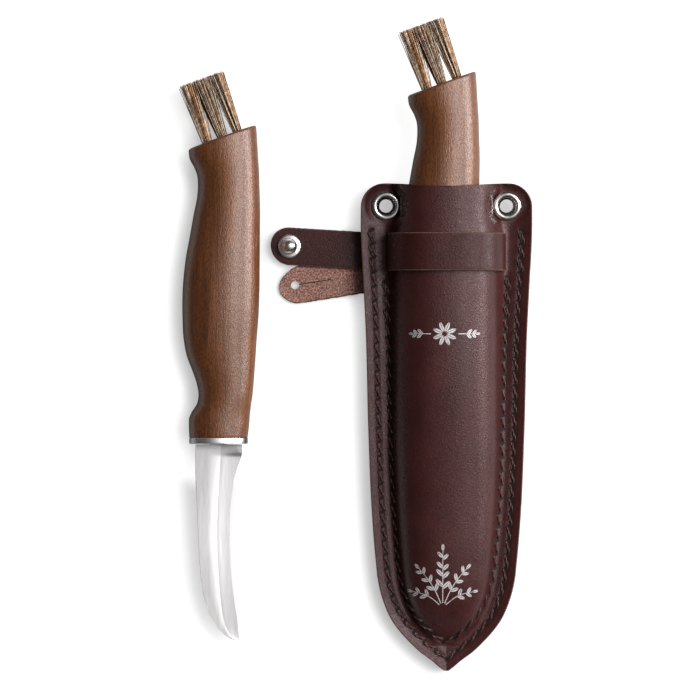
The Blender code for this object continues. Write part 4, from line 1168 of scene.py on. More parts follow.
def ferrule_mesh():
    """An oval plate with eased edges that closes the handle's front."""
    middle, half_width, half_depth, _ = handle_section(0)
    rings = []
    for end, way in ((0, 1), (FERRULE_THICKNESS, -1)):
        for sine, cosine in quarter(ROUND_STEPS)[::way]:
            inset = FERRULE_ROUND * (1 - sine)
            y = end + way * FERRULE_ROUND * (1 - cosine)
            wide, deep = half_width - inset, half_depth - inset
            outline = superellipse(wide, deep, HANDLE_EXPONENT, HANDLE_SIDES)
            rings.append([(middle + across, y, up) for across, up in outline])
    slot = add_tang_slot(bmesh.new(), -CUT_OVERRUN, FERRULE_THICKNESS + CUT_OVERRUN)
    return without(mesh_from(loft(rings), "ferrule"), slot)


def strand_rings(root, top, bow, angle):
    """A strand that thins towards its top and bows on the way."""
    rings = []
    for step in range(BRISTLE_STEPS + 1):
        t = step / BRISTLE_STEPS
        spread = t ** BRISTLE_SPREAD_EXPONENT
        middle = root + (top - root) * spread + bow * math.sin(math.pi * t)
        middle.z = root.z + (top.z - root.z) * t
        radius = BRISTLE_RADIUS * (1 - BRISTLE_TAPER_SHARE * t)
        rings.append([
            middle + Vector((math.cos(a), math.sin(a), 0)) * radius
            for a in (angle + TURN * k / BRISTLE_SIDES for k in range(BRISTLE_SIDES))
        ])
    return rings


def tuft_mesh(column, row, seed):
    """A fanned bunch of fine strands; +Z along the tuft, its hole's mouth at 0, +X across."""
    draw = random.Random(seed)
    shape = bmesh.new()
    golden = TURN * (3 - math.sqrt(5)) / 2
    root_reach = TUFT_HOLE_RADIUS - 2 * BRISTLE_RADIUS
    side = column - (TUFT_COLUMNS - 1) / 2
    level = 2 * row - (TUFT_ROWS - 1)
    for i in range(BRISTLES_PER_TUFT):
        reach = root_reach * math.sqrt((2 * i + 1) / (2 * BRISTLES_PER_TUFT))
        angle = golden * i
        root = Vector((reach * math.cos(angle), reach * math.sin(angle), 0))
        top = root * (TUFT_PITCH / 2 / root_reach)
        if root.x * side <= 0:
            top.x *= 1 + BRISTLE_OVERLAP_SHARE
        top += Vector((-side, -level, 0)) * BRISTLE_LEAN_IN
        top += Vector((draw.gauss(0, 1), draw.gauss(0, 1), 0)) * BRISTLE_STRAY
        top.z = BRISTLE_LENGTH + draw.uniform(-1, 1) * BRISTLE_LENGTH_CHANGE
        root.z = -TUFT_HOLE_DEPTH / 2
        bow = Vector((draw.gauss(0, 1), draw.gauss(0, 1), 0)) * BRISTLE_STRAY
        slot = draw.choices(range(len(BRISTLES)), BRISTLE_MIX_SHARES)[0]
        loft(strand_rings(root, top, bow, angle), shape, slot)
    return mesh_from(shape, "tuft")


def build_knives():
    """Each knife from the same meshes, on its own body."""
    blade, ferrule, handle = blade_mesh(), ferrule_mesh(), handle_mesh()
    places = tuft_places()
    lean = Matrix((BUTT_ACROSS, Vector((0, 0, -1)), BUTT_NORMAL)).transposed().to_4x4()
    tufts = []
    for number in range(TUFT_COLUMNS * TUFT_ROWS):
        column, row = number % TUFT_COLUMNS, number // TUFT_COLUMNS
        tufts.append(tuft_mesh(column, TUFT_ROWS - 1 - row, number + 1))
    for prefix, place in (("bare", BARE_KNIFE), ("sheathed", SHEATHED_KNIFE)):
        body = prefix + "_knife"
        for part, mesh, materials, slot in (
            ("blade", blade, [STEEL, BEVEL_STEEL], "blade_steel"),
            ("ferrule", ferrule, [FERRULE_METAL], "ferrule_metal"),
            ("handle", handle, [WOOD], "walnut"),
        ):
            node = f"{prefix}_{part}"
            add_piece(node + "_shown", mesh.copy(), place, materials, body, [node])
        for number, (mesh, point) in enumerate(zip(tufts, places), 1):
            node = f"{prefix}_tuft_{number}"
            at = place @ Matrix.Translation(point) @ lean
            add_piece(node + "_shown", mesh.copy(), at, BRISTLES, body, [node])


build_knives()


# Sheath, in its own frame: the tip at the origin, +Y to the mouth, the back's underside at 0


def sheath_rows():
    """Rows of the sheath from tip to mouth, as (y, half-width), with round mouth corners."""
    rows = []
    for i in range(SHEATH_STATIONS + 1):
        y = SHEATH_SIDE_LENGTH * (i / SHEATH_STATIONS) ** SHEATH_STATION_EXPONENT
        half_width = table_value(SHEATH_OUTLINE_SHARES, y / SHEATH_LENGTH)[0]
        rows.append((y, half_width * SHEATH_HALF_WIDTH))
    side_half_width = rows[-1][1]
    for sine, cosine in quarter(MOUTH_CORNER_STEPS)[1:]:
        rows.append((
            SHEATH_SIDE_LENGTH + MOUTH_CORNER_RADIUS * sine,
            side_half_width - MOUTH_CORNER_RADIUS * (1 - cosine),
        ))
    return rows


ROWS = sheath_rows()


def dipped(x, y, half_width):
    """y lowered near the mouth, most at the middle."""
    near = max(0, 1 - (SHEATH_LENGTH - y) / MOUTH_DIP_REACH)
    return y - MOUTH_DIP * near * math.cos(TURN / 4 * x / half_width) ** 2


def dome_at(y):
    """The hollow's half-width and its height over the flange at a place along the sheath."""
    width, height = table_value(DOME_SHARES, max(y / SHEATH_LENGTH, DOME_SHARES[0][0]))
    return width * HOLLOW_HALF_WIDTH, height * HOLLOW_HEIGHT


def widened(half_dome, y, room):
    """The half-width the dome is shown with, widened but for beside the eyelets."""
    near, far = DOME_NARROW_REACH
    more = max(0, min(room, DOME_SHOWN_HALF_WIDTH) - half_dome)
    return half_dome + more * eased(held((SHEATH_LENGTH - y - near) / (far - near)))


def front_section(y, half_width, half_hollow, height):
    """Half of the front panel's section, edge to middle, as pairs of outer and inner points."""
    base = FLANGE_Z - (FIT_GAP - SEAM_GAP) / 2
    ease = min(EDGE_ROUND, half_width / 4)
    half_dome = half_hollow + LEATHER_THICKNESS
    half_dome = widened(half_dome, y, half_width - SEAM_INSETS[1] - DOME_SEAM_ROOM)
    fillet = min(DOME_FILLET, height * DOME_FILLET_SHARE)
    foot = half_dome + fillet
    drawn = min(1, FOOT_REACH_SHARE * half_width / foot)
    outer, inner = [], []
    for sine, cosine in quarter(EDGE_STEPS)[:-1]:
        x = half_width - ease * (1 - cosine)
        outer.append((x, FLANGE_TOP - ease * (1 - sine)))
        inner.append((x, base))
    start = half_width - ease
    for i in range(FLANGE_COLUMNS + 1):
        t = i / FLANGE_COLUMNS
        outer.append((start + (foot * drawn - start) * t, FLANGE_TOP))
        inner.append((start + (half_hollow * drawn - start) * t, base))
    start = math.asin(min(1, fillet / height) ** (DOME_EXPONENT / 2))
    for i in range(1, DOME_COLUMNS + 1):
        angle = start + (TURN / 4 - start) * i / DOME_COLUMNS
        cosine, sine = max(math.cos(angle), 0), math.sin(angle)
        shown, real = 2 / DOME_SHOWN_EXPONENT, 2 / DOME_EXPONENT
        outer.append((half_dome * drawn * cosine ** shown, FLANGE_TOP + height * sine ** shown))
        inner.append((half_hollow * drawn * cosine ** real, FLANGE_Z + height * sine ** real))
    for _ in range(FOOT_SMOOTHING):
        past_middle = outer + [(-outer[-2][0], outer[-2][1])]
        for i in range(EDGE_STEPS + 2, len(outer)):
            before, here, after = past_middle[i - 1:i + 2]
            outer[i] = tuple((a + 2 * b + c) / 4 for a, b, c in zip(before, here, after))
    return list(zip(outer, inner))


def front_grids():
    """The front panel's outer and inner points, row by row from the tip to the eased mouth."""
    outer_rows, inner_rows = [], []
    for y, half_width in ROWS:
        half = front_section(y, half_width, *dome_at(y))
        left = [((-outer[0], outer[1]), (-inner[0], inner[1])) for outer, inner in half[:-1]]
        outer_row, inner_row = [], []
        for outer, inner in left + half[::-1]:
            for row, (x, z) in ((outer_row, outer), (inner_row, inner)):
                row.append(Vector((x, dipped(x, y, half_width), z)))
        outer_rows.append(outer_row)
        inner_rows.append(inner_row)
    last_outer, last_inner = outer_rows.pop(), inner_rows.pop()
    for sine, cosine in quarter(EDGE_STEPS):
        back = Vector((0, EDGE_ROUND * (sine - 1), 0))
        sunk = EDGE_ROUND * (1 - cosine) / LEATHER_THICKNESS
        outer_rows.append([a.lerp(b, sunk) + back for a, b in zip(last_outer, last_inner)])
        inner_rows.append([point + back for point in last_inner])
    return outer_rows, inner_rows


def seam_path(inset):
    """A line at an even distance inside the outline: down the left side, up the right side."""
    side = [Vector((half_width, y)) for y, half_width in ROWS[:-MOUTH_CORNER_STEPS]]
    path = []
    for i in range(1, len(side) - 1):
        along = (side[i + 1] - side[i - 1]).normalized()
        point = side[i] + square_to(along) * inset
        if point.x > 0:
            path.append(point)
    slope = (path[1] - path[0]).normalized()
    path.insert(0, path[0] - slope * (path[0].x / slope.x))
    return [mirrored(point) for point in path[:0:-1]] + path


def resampled(path, left_top, right_top):
    """Even steps of about one stitch along a path, cut off at a height on each side."""
    middle = min(range(len(path)), key=lambda i: path[i].y)
    kept = [p for p in path[:middle] if p.y < left_top] + [p for p in path[middle:] if p.y < right_top]
    lengths = [0]
    for a, b in zip(kept, kept[1:]):
        lengths.append(lengths[-1] + (b - a).length)
    count = round(lengths[-1] / STITCH_PITCH)
    points, index = [], 0
    for i in range(count + 1):
        at = lengths[-1] * i / count
        while index < len(kept) - 2 and lengths[index + 1] < at:
            index += 1
        share = (at - lengths[index]) / (lengths[index + 1] - lengths[index])
        points.append(kept[index].lerp(kept[index + 1], share))
    return points


SEAMS = [resampled(seam_path(inset), *tops) for inset, tops in zip(SEAM_INSETS, SEAM_TOPS)]


def seam_distance(x, y, seam):
    """How far a point is from a seam's line, looked for among nearby stitches only."""
    least = 1.0
    point = Vector((x, y))
    for a, b in zip(seam, seam[1:]):
        if abs(a.y - y) > 2 * STITCH_PITCH or abs(a.x - x) > 2 * STITCH_PITCH:
            continue
        along = b - a
        t = held((point - a).dot(along) / along.length_squared)
        least = min(least, (point - a - along * t).length)
    return least


def lifted(rows):
    """The outer points raised towards the outline, where drawn seams lift the leather's edge.

    At the eyelets, which press the leather flat, they stay low.
    """
    for number, row in enumerate(rows):
        index = min(number, len(ROWS) - MOUTH_CORNER_STEPS - 1)
        (low_y, low_half), (high_y, high_half) = ROWS[max(index - 1, 0)], ROWS[index + 1]
        along = Vector((high_half - low_half, high_y - low_y)).normalized()
        half_width = max(point.x for point in row)
        for point in row:
            inside = (half_width - abs(point.x)) * along.y
            point.z += LIP_RISE * max(0, 1 - inside / LIP_REACH) ** LIP_EXPONENT
            away = math.hypot(abs(point.x) - EYELET_X, point.y - EYELET_Y)
            pressed = held((EYELET_PRESS[1] - away) / (EYELET_PRESS[1] - EYELET_PRESS[0]))
            point.z += (FLANGE_TOP - point.z) * eased(pressed)
    return rows


def grooved(rows):
    """The outer points pressed down along the seams."""
    for row in rows:
        for point in row:
            least = min(seam_distance(point.x, point.y, seam) for seam in SEAMS)
            if least < 3 * GROOVE_REACH:
                point.z -= GROOVE_DEPTH * math.exp(-((least / GROOVE_REACH) ** 2))
    return rows


def skin_mesh(outer_rows, inner_rows, name):
    """A shell between two grids; its cut edges are in the second material."""
    shape = bmesh.new()
    grids = [[[shape.verts.new(p) for p in row] for row in rows] for rows in (outer_rows, inner_rows)]
    last = len(outer_rows[0]) - 1
    for grid in grids:
        for low, high in zip(grid, grid[1:]):
            for i in range(last):
                face = shape.faces.new((low[i], low[i + 1], high[i + 1], high[i]))
                face.material_index = int(min(i, last - 1 - i) < EDGE_STEPS - 1)
    outer, inner = grids
    for side in (0, last):
        for a in range(len(outer) - 1):
            corners = (outer[a][side], outer[a + 1][side], inner[a + 1][side], inner[a][side])
            shape.faces.new(corners).material_index = 1
    for row in (0, -1):
        for i in range(last):
            corners = (outer[row][i], outer[row][i + 1], inner[row][i + 1], inner[row][i])
            shape.faces.new(corners).material_index = 1
    return mesh_from(shape, name)


def sheath_outline():
    """The whole outline, from the tip up the right side, over the mouth and down the left."""
    right = [Vector((half_width, y)) for y, half_width in ROWS]
    left = [mirrored(point) for point in reversed(right)]
    mouth_y, mouth_half = ROWS[-1]
    mouth = []
    for i in range(1, MOUTH_STEPS):
        x = mouth_half * (1 - 2 * i / MOUTH_STEPS)
        mouth.append(Vector((x, dipped(x, mouth_y, mouth_half))))
    return right + mouth + left


def welt_outline():
    """A band of even width along both sides and round the tip, open at the mouth."""
    right = [Vector((half_width, y)) for y, half_width in ROWS]
    inner = []
    for y, half_width in ROWS:
        if half_width > WELT_WIDTH + DOME_FILLET:
            edge = ROWS[-MOUTH_CORNER_STEPS - 1][1] if y > SHEATH_SIDE_LENGTH else half_width
            if edge - WELT_WIDTH < ROWS[-1][1]:
                inner.append(Vector((edge - WELT_WIDTH, y)))
    apex = Vector((0, inner[0].y - inner[0].x))
    half = right + inner[::-1]
    return half + [apex] + [mirrored(point) for point in reversed(half)]


def drawn_outline(outline, inset):
    """The outline moved in at every point, square to its neighbours."""
    moved = []
    for i, point in enumerate(outline):
        along = outline[(i + 1) % len(outline)] - outline[i - 1]
        if along.length:
            along.normalize()
        moved.append(point + square_to(along) * inset)
    return moved


def plate_mesh(outline, low, high, ease, name):
    """A flat plate with eased edges; the edges are in the second material."""
    shape = bmesh.new()
    rings = []
    for end, way in ((low, 1), (high, -1)):
        for sine, cosine in quarter(EDGE_STEPS)[::way]:
            z = end + way * ease * (1 - cosine)
            ring = drawn_outline(outline, ease * (1 - sine))
            rings.append([(point.x, point.y, z) for point in ring])
    loft(rings, shape, 1)
    shape.faces.ensure_lookup_table()
    for cap in list(shape.faces)[-2:]:
        cap.material_index = 0
    return mesh_from(shape, name)


def mouth_cutters():
    """The eyelets' holes and the strap's slits, through every layer."""
    shape = bmesh.new()
    low, high = -CUT_OVERRUN, FLANGE_TOP + CUT_OVERRUN
    half_slit = STRAP_WIDTH / 2 + SEAM_GAP
    for side in (-1, 1):
        x = side * EYELET_X
        hole = EYELET_BARREL_RADIUS + SEAM_GAP
        add_rod(shape, (x, EYELET_Y, low), (x, EYELET_Y, high), hole, EYELET_SIDES)
        x = side * SLIT_X
        low_corner = (x - SLIT_SHOWN_WIDTH / 2, STRAP_Y - half_slit, low)
        add_box(shape, low_corner, (x + SLIT_SHOWN_WIDTH / 2, STRAP_Y + half_slit, high))
    return shape


def eyelet_mesh():
    """A turned eyelet: a rolled rim on the front, a barrel, and a lip rolled behind the washer."""
    rim_low = FLANGE_TOP + SEAM_GAP
    lip_high = -2 * FIT_GAP - WASHER_THICKNESS
    lip_middle = (EYELET_RADIUS + EYELET_BARREL_RADIUS) / 2
    half_rim = (EYELET_SHOWN_RADIUS - EYELET_BARREL_RADIUS) / 2
    rim_middle = EYELET_BARREL_RADIUS + half_rim
    profile = [
        (EYELET_BARREL_RADIUS, rim_low),
        (EYELET_SHOWN_RADIUS - half_rim / 5, rim_low),
    ]
    for i in range(EYELET_RIM_STEPS + 1):
        angle = math.pi * i / EYELET_RIM_STEPS
        up = EYELET_RIM_HEIGHT * math.sin(angle) ** EYELET_RIM_EXPONENT
        profile.append((rim_middle + half_rim * math.cos(angle), rim_low + up))
    flare = EYELET_BARREL_RADIUS - SEAM_GAP - EYELET_FUNNEL_RADIUS
    for sine, cosine in quarter(EYELET_FUNNEL_STEPS)[1:]:
        ring = EYELET_FUNNEL_RADIUS + flare * cosine
        profile.append((ring, rim_low - EYELET_FUNNEL_RADIUS * sine))
    lip_low = lip_high - WASHER_THICKNESS
    profile += [
        (EYELET_FUNNEL_RADIUS, lip_low + WASHER_THICKNESS / 2),
        (EYELET_BARREL_RADIUS, lip_low),
        (lip_middle, (lip_low + lip_high) / 2),
        (lip_middle, lip_high),
        (EYELET_BARREL_RADIUS, lip_high),
    ]
    mesh = mesh_from(revolve(profile, EYELET_SIDES), "eyelet")
    for face in mesh.polygons:
        inside = math.hypot(face.center.x, face.center.y) < EYELET_BARREL_RADIUS
        face.material_index = int(inside and face.center.z > 0)
    return mesh


def washer_mesh():
    """A flat ring behind the back panel with one eased edge."""
    high, low = -SEAM_GAP, -FIT_GAP - WASHER_THICKNESS
    inner = EYELET_BARREL_RADIUS + SEAM_GAP
    ease = WASHER_THICKNESS / 3
    profile = [
        (inner, low), (EYELET_RADIUS - ease, low), (EYELET_RADIUS, low + ease),
        (EYELET_RADIUS, high), (inner, high),
    ]
    return mesh_from(revolve(profile, EYELET_SIDES), "washer")


def add_stitch(shape, start, end, surface, radius):
    """One stitch of two plies from hole to hole."""
    across = square_to((end - start).normalized())
    side = across.to_3d()
    for ply in (0, 1):
        rings = []
        for step in range(STITCH_STEPS + 1):
            t = step / STITCH_STEPS
            spot = start.lerp(end, t) - across * STITCH_SLANT * STITCH_BEND_SHARE * math.sin(TURN * t)
            height = surface(spot.x, spot.y, math.sin(math.pi * t) ** STITCH_ARCH_EXPONENT)
            twist = TURN * (PLY_TURNS * t + ply / 2)
            offset = side * math.cos(twist) + Vector((0, 0, math.sin(twist)))
            centre = Vector((spot.x, spot.y, height)) + offset * PLY_OFFSET
            rings.append([
                centre + (side * math.cos(turn) + Vector((0, 0, math.sin(turn)))) * radius
                for turn in (TURN * k / PLY_SIDES for k in range(PLY_SIDES))
            ])
        loft(rings, shape)


def stitches_mesh(surface, radius, name):
    """The stitches along the seams, sewn twice at each end.

    surface gives a stitch's height at (x, y), where it has risen by a share of its arch.
    """
    shape = bmesh.new()
    for seam in SEAMS:
        for number, (a, b) in enumerate(zip(seam, seam[1:])):
            across = square_to((b - a).normalized())
            doubled = min(number, len(seam) - 2 - number) < DOUBLED_STITCHES
            for shift in (-DOUBLED_SPREAD, DOUBLED_SPREAD) if doubled else (0,):
                start = a - across * (STITCH_SLANT - shift)
                end = b + across * (STITCH_SLANT + shift)
                add_stitch(shape, start, end, surface, radius)
    return mesh_from(shape, name)


def hole_shade_mesh(height, name):
    """Painted shade for the awl's slits between stitches: thin dark lenses at the leather's height at (x,
    y).
    """
    shape = bmesh.new()
    for seam in SEAMS:
        for i, point in enumerate(seam):
            along = (seam[min(i + 1, len(seam) - 1)] - seam[max(i - 1, 0)]).normalized()
            run = (square_to(along) - along * HOLE_SLANT_SHARE).normalized()
            side = square_to(run)
            rings = []
            for up in (-1, 1):
                ring = []
                for k in range(HOLE_SIDES):
                    turn = TURN * k / HOLE_SIDES
                    spot = point + run * HOLE_HALF_LENGTH * math.cos(turn)
                    spot += side * HOLE_HALF_WIDTH * math.sin(turn)
                    z = height(spot.x, spot.y) + HOLE_STAND + up * HOLE_STAND
                    ring.append((spot.x, spot.y, z))
                rings.append(ring)
            loft(rings, shape)
    return mesh_from(shape, name)


def height_finder(rows):
    """The height of the front panel's outer side at any (x, y) of the sheath."""
    count = len(rows[0])
    points = [point for row in rows for point in row]
    faces = []
    for row in range(len(rows) - 1):
        for i in range(count - 1):
            a = row * count + i
            faces.append((a, a + 1, a + count + 1, a + count))
    tree = BVHTree.FromPolygons(points, faces)

    def height(x, y):
        hit = tree.ray_cast(Vector((x, y, SHEATH_LENGTH)), Vector((0, 0, -1)))[0]
        return hit.z if hit else FLANGE_TOP

    return height


def build_layers(outer_rows, inner_rows):
    """The three leather layers, cut through for the eyelets and the strap."""
    seam_high = (FIT_GAP - SEAM_GAP) / 2
    welt_low = LEATHER_THICKNESS + FIT_GAP
    welt_high = welt_low + WELT_THICKNESS
    front = skin_mesh(outer_rows, inner_rows, "front_panel")
    back = plate_mesh(sheath_outline(), 0, LEATHER_THICKNESS + seam_high, EDGE_ROUND, "back_panel")
    welt = plate_mesh(
        welt_outline(), welt_low - seam_high, welt_high + seam_high, EDGE_ROUND / 3, "welt",
    )
    for name, mesh, face, slot in (
        ("back_panel", back, LEATHER, "leather"),
        ("welt", welt, CUT_EDGE, "leather_core"),
        ("front_panel", front, LEATHER, "leather"),
    ):
        mesh = without(mesh, mouth_cutters())
        add_piece(name + "_shown", mesh, IN_SHEATH, [face, CUT_EDGE], "sheath", [name])


def build_seams():
    """The stitches and the painted shade of the awl's holes, on the front panel and under the back one."""

    def on_front(x, y, arch):
        return FRONT_HEIGHT(x, y) - STITCH_SINK + (STITCH_SINK + STITCH_RISE) * arch

    def on_back(x, y, arch):
        return BACK_STITCH_Z

    def back_height(x, y):
        return 0

    for name, mesh, material in (
        ("front_stitches", stitches_mesh(on_front, PLY_RADIUS, "front_stitches"), THREAD),
        ("back_stitches", stitches_mesh(on_back, BACK_PLY_RADIUS, "back_stitches"), THREAD),
        # dark lenses of painted shade where the awl's holes are
        ("front_stitch_hole_shade", hole_shade_mesh(FRONT_HEIGHT, "front_stitch_hole_shade"), HOLE_PAINTED_SHADE),
        ("back_stitch_hole_shade", hole_shade_mesh(back_height, "back_stitch_hole_shade"), HOLE_PAINTED_SHADE),
    ):
        add_piece(name, mesh, IN_SHEATH, [material], "sheath")


def build_eyelets():
    """An eyelet and its washer in each of the mouth's corners."""
    eyelet, washer = eyelet_mesh(), washer_mesh()
    for side, sign in (("left", -1), ("right", 1)):
        place = IN_SHEATH @ Matrix.Translation((sign * EYELET_X, EYELET_Y, 0))
        for name, mesh, materials in (
            ("eyelet_" + side, eyelet, [NICKEL, NICKEL_SHADED]),
            ("eyelet_washer_" + side, washer, [NICKEL]),
        ):
            add_piece(name + "_shown", mesh.copy(), place, materials, "sheath", [name])


outer_rows, inner_rows = front_grids()
grooved(lifted(outer_rows))
FRONT_HEIGHT = height_finder(outer_rows)
build_layers(outer_rows, inner_rows)
build_seams()
build_eyelets()


# Strap, level with the table: x from the sheath's middle, z from the table


def stud_side_y(x):
    """Where the run to the stud end has its middle line, left of the left slit."""
    return STRAP_LEVEL_Y - (x + SLIT_X) * math.tan(STUD_END_TILT)


def tongue_side_y(x):
    """Where the run behind the sheath to the tongue has its middle line."""
    return STRAP_LEVEL_Y + (x - SLIT_X + STRAP_BEND_RADIUS) * math.tan(TONGUE_TILT)


def strap_path():
    """The fixed strap's middle line as (x, z, y): left edge, front arch, then behind to the left."""
    radius = STRAP_BEND_RADIUS
    upper_y = STRAP_Y + STRAP_WIDTH / 2
    rise = math.sin(SHEATH_PITCH) * upper_y
    arch_low = FLANGE_TOP + rise
    arch_high = arch_low + dome_at(upper_y)[1] + FIT_GAP + STRAP_THICKNESS / 2 + FIT_GAP
    path = []
    front_steps = RUN_STEPS // 3
    for i in range(front_steps):
        x = STRAP_JOIN_X + (-SLIT_X - radius - STRAP_JOIN_X) * i / front_steps
        path.append((x, STUD_END_Z, stud_side_y(x)))
    for sine, cosine in quarter(STRAP_BEND_STEPS):
        x = -SLIT_X - radius * (1 - sine)
        path.append((x, STUD_END_Z + radius * (1 - cosine), stud_side_y(x)))
    for i in range(STRAP_ARCH_STEPS + 1):
        angle = math.pi * i / STRAP_ARCH_STEPS
        across = powered(math.cos(angle), 2 / STRAP_ARCH_EXPONENT)
        up = max(math.sin(angle), 0) ** (2 / STRAP_ARCH_EXPONENT)
        path.append((-SLIT_X * across, arch_low + (arch_high - arch_low) * up, STRAP_LEVEL_Y))
    for sine, cosine in quarter(STRAP_BEND_STEPS):
        x = SLIT_X - radius * (1 - cosine)
        path.append((x, TONGUE_Z + radius * (1 - sine), STRAP_LEVEL_Y))
    for i in range(1, RUN_STEPS + 1):
        x = SLIT_X - radius + (STRAP_JOIN_X - SLIT_X + radius) * i / RUN_STEPS
        path.append((x, TONGUE_Z, tongue_side_y(x)))
    return path


def strip_section(half_width):
    """A strip's section with eased corners, as (across, up) pairs from its lower left."""
    half, ease = STRAP_THICKNESS / 2, min(STRAP_EDGE_ROUND, half_width / 2)
    points = []
    for corner, (right, up) in enumerate(((1, -1), (1, 1), (-1, 1), (-1, -1))):
        for step in range(EDGE_STEPS + 1):
            angle = TURN / 4 * (step / EDGE_STEPS + corner - 1)
            points.append((
                right * (half_width - ease) + ease * math.cos(angle),
                up * (half - ease) + ease * math.sin(angle),
            ))
    corner = EDGE_STEPS + 1
    lower, upper = points[-1], points[2 * corner - 1]
    low_run, high_run = [], []
    for i in range(1, STRIP_COLUMNS):
        t = i / STRIP_COLUMNS
        low_run.append((lower[0] + (points[0][0] - lower[0]) * t, lower[1]))
        high_run.append((upper[0] * (1 - 2 * t), upper[1]))
    return low_run + points[:2 * corner] + high_run + points[2 * corner:]


def strip_slots(top, bottom, edge):
    """Which material each side of a strip has, in the order of its section's points."""
    corner = EDGE_STEPS + 1
    sides = [bottom] * (STRIP_COLUMNS - 1) + [edge] * (2 * corner - 1)
    return sides + [top] * STRIP_COLUMNS + [edge] * (2 * corner - 1) + [bottom]


def band_mesh():
    """The fixed strap: the section swept along its path, standing square to it."""
    path = strap_path()
    section = strip_section(STRAP_WIDTH / 2)
    rings = []
    for i, (x, z, y) in enumerate(path):
        before, after = path[max(i - 1, 0)], path[min(i + 1, len(path) - 1)]
        along = Vector((after[0] - before[0], after[1] - before[1])).normalized()
        rings.append([
            (x - along.y * up, y - across, z + along.x * up) for across, up in section
        ])
    return mesh_from(loft(rings, slot=strip_slots(0, 2, 1)), "strap_band")


def strap_end_mesh(length, tilt, nose_rows, slots, ragged, name):
    """A strap end from its join behind the sheath's edge to its nose; the hinge is the origin."""
    stations = []
    reach = STRAP_JOIN_X - SEAM_GAP - HINGE_X
    straight = length - nose_rows[-1][0]
    steps = 2 * RUN_STEPS
    for i in range(steps):
        stations.append((reach - (reach + straight) * i / steps, STRAP_WIDTH / 2))
    stations += [(back - length, half_width) for back, half_width in reversed(nose_rows)]
    rings = []
    for x, half_width in stations:
        ring = []
        for across, up in strip_section(half_width):
            spot = Vector((x, x * math.tan(tilt) + across, up))
            near_edge = abs(across) > half_width - STRAP_THICKNESS
            drift = noise.noise(spot * RAGGED_SCALE) * ragged if near_edge else 0
            spot.y += drift * (1 if across > 0 else -1)
            ring.append(spot)
        rings.append(ring)
    return mesh_from(loft(rings, slot=slots), name)


def round_nose():
    """A half-round nose as (distance back from the tip, half-width)."""
    radius = STRAP_WIDTH / 2
    rows = []
    for i in range(NOSE_STEPS + 1):
        angle = TURN / 4 * max(i, NOSE_BLUNT_SHARE) / NOSE_STEPS
        rows.append((radius * (1 - math.cos(angle)), radius * math.sin(angle)))
    return rows


def tongue_nose():
    """The tongue's rounded point as (distance back from the tip, half-width)."""
    rows = []
    for i in range(NOSE_STEPS + 1):
        back = (i / NOSE_STEPS) ** TONGUE_NOSE_EXPONENT
        width = table_value(TONGUE_NOSE_SHARES, back)[0]
        rows.append((back * TONGUE_NOSE, width * STRAP_WIDTH / 2))
    return rows


def stud_mesh():
    """Flange, neck and ball, turned, with a blind hole for the screw; z=0 on the strap's top."""
    flange_low = SEAM_GAP
    flange_high = FIT_GAP + STUD_FLANGE_THICKNESS
    neck_high = flange_high + STUD_NECK_HEIGHT
    ball_z = neck_high + STUD_BALL_RADIUS * STUD_SEAT_SHARE
    bore = SCREW_RADIUS + SEAM_GAP
    bore_top = FIT_GAP + SCREW_DEPTH_IN_STUD + SEAM_GAP
    ease = (flange_high - flange_low) / 2
    flat = STUD_FLANGE_RADIUS - ease / 2
    profile = [(0, bore_top), (bore, bore_top), (bore, flange_low), (flat, flange_low)]
    for i in range(STUD_FLANGE_STEPS + 1):
        angle = TURN / 4 * (i / STUD_FLANGE_STEPS * 2 - 1)
        ring = STUD_FLANGE_RADIUS - ease + ease * math.cos(angle)
        profile.append((ring, flange_low + ease + ease * math.sin(angle)))
    for sine, cosine in quarter(STUD_NECK_STEPS)[1:]:
        radius = STUD_NECK_RADIUS + STUD_NECK_HEIGHT * (1 - sine)
        profile.append((radius, flange_high + STUD_NECK_HEIGHT * (1 - cosine)))
    start = -math.asin(STUD_SEAT_SHARE)
    for i in range(1, STUD_BALL_STEPS):
        angle = start + (TURN / 4 - start) * i / STUD_BALL_STEPS
        height = ball_z + STUD_BALL_RADIUS * math.sin(angle)
        profile.append((STUD_BALL_RADIUS * math.cos(angle), height))
    profile.append((0, ball_z + STUD_BALL_RADIUS))
    return mesh_from(revolve(profile, STUD_SIDES), "stud")


def screw_mesh():
    """A flat-headed screw that comes up through the strap into the stud; z=0 on the strap's top."""
    head_high = -STRAP_THICKNESS - SEAM_GAP
    head_low = -STRAP_THICKNESS - FIT_GAP - SCREW_HEAD_THICKNESS
    ease = SCREW_HEAD_THICKNESS / 2
    profile = [
        (0, head_low), (SCREW_HEAD_RADIUS - ease, head_low), (SCREW_HEAD_RADIUS, head_low + ease),
        (SCREW_HEAD_RADIUS, head_high), (SCREW_RADIUS, head_high),
        (SCREW_RADIUS, FIT_GAP + SCREW_DEPTH_IN_STUD), (0, FIT_GAP + SCREW_DEPTH_IN_STUD),
    ]
    return mesh_from(revolve(profile, STUD_SIDES), "stud_screw")


def pierced(mesh, spot, radius):
    """The mesh with a round hole through the strap at a spot."""
    reach = Vector((0, 0, STRAP_THICKNESS + CUT_OVERRUN))
    return without(mesh, add_rod(bmesh.new(), spot - reach, spot + reach, radius, KEYHOLE_SIDES))


def slit_cutter(spot, tilt):
    """A thin slit in the strap's upper side, from a spot along its run towards the sheath."""
    half = KEYHOLE_SLIT_WIDTH / 2
    low = (0, -half, -STRAP_THICKNESS / 3)
    shape = add_box(bmesh.new(), low, (KEYHOLE_SLIT_LENGTH, half, STRAP_THICKNESS + CUT_OVERRUN))
    turn = Matrix.Translation(spot) @ Matrix.Rotation(tilt, 4, "Z")
    bmesh.ops.transform(shape, matrix=turn, verts=shape.verts)
    return shape


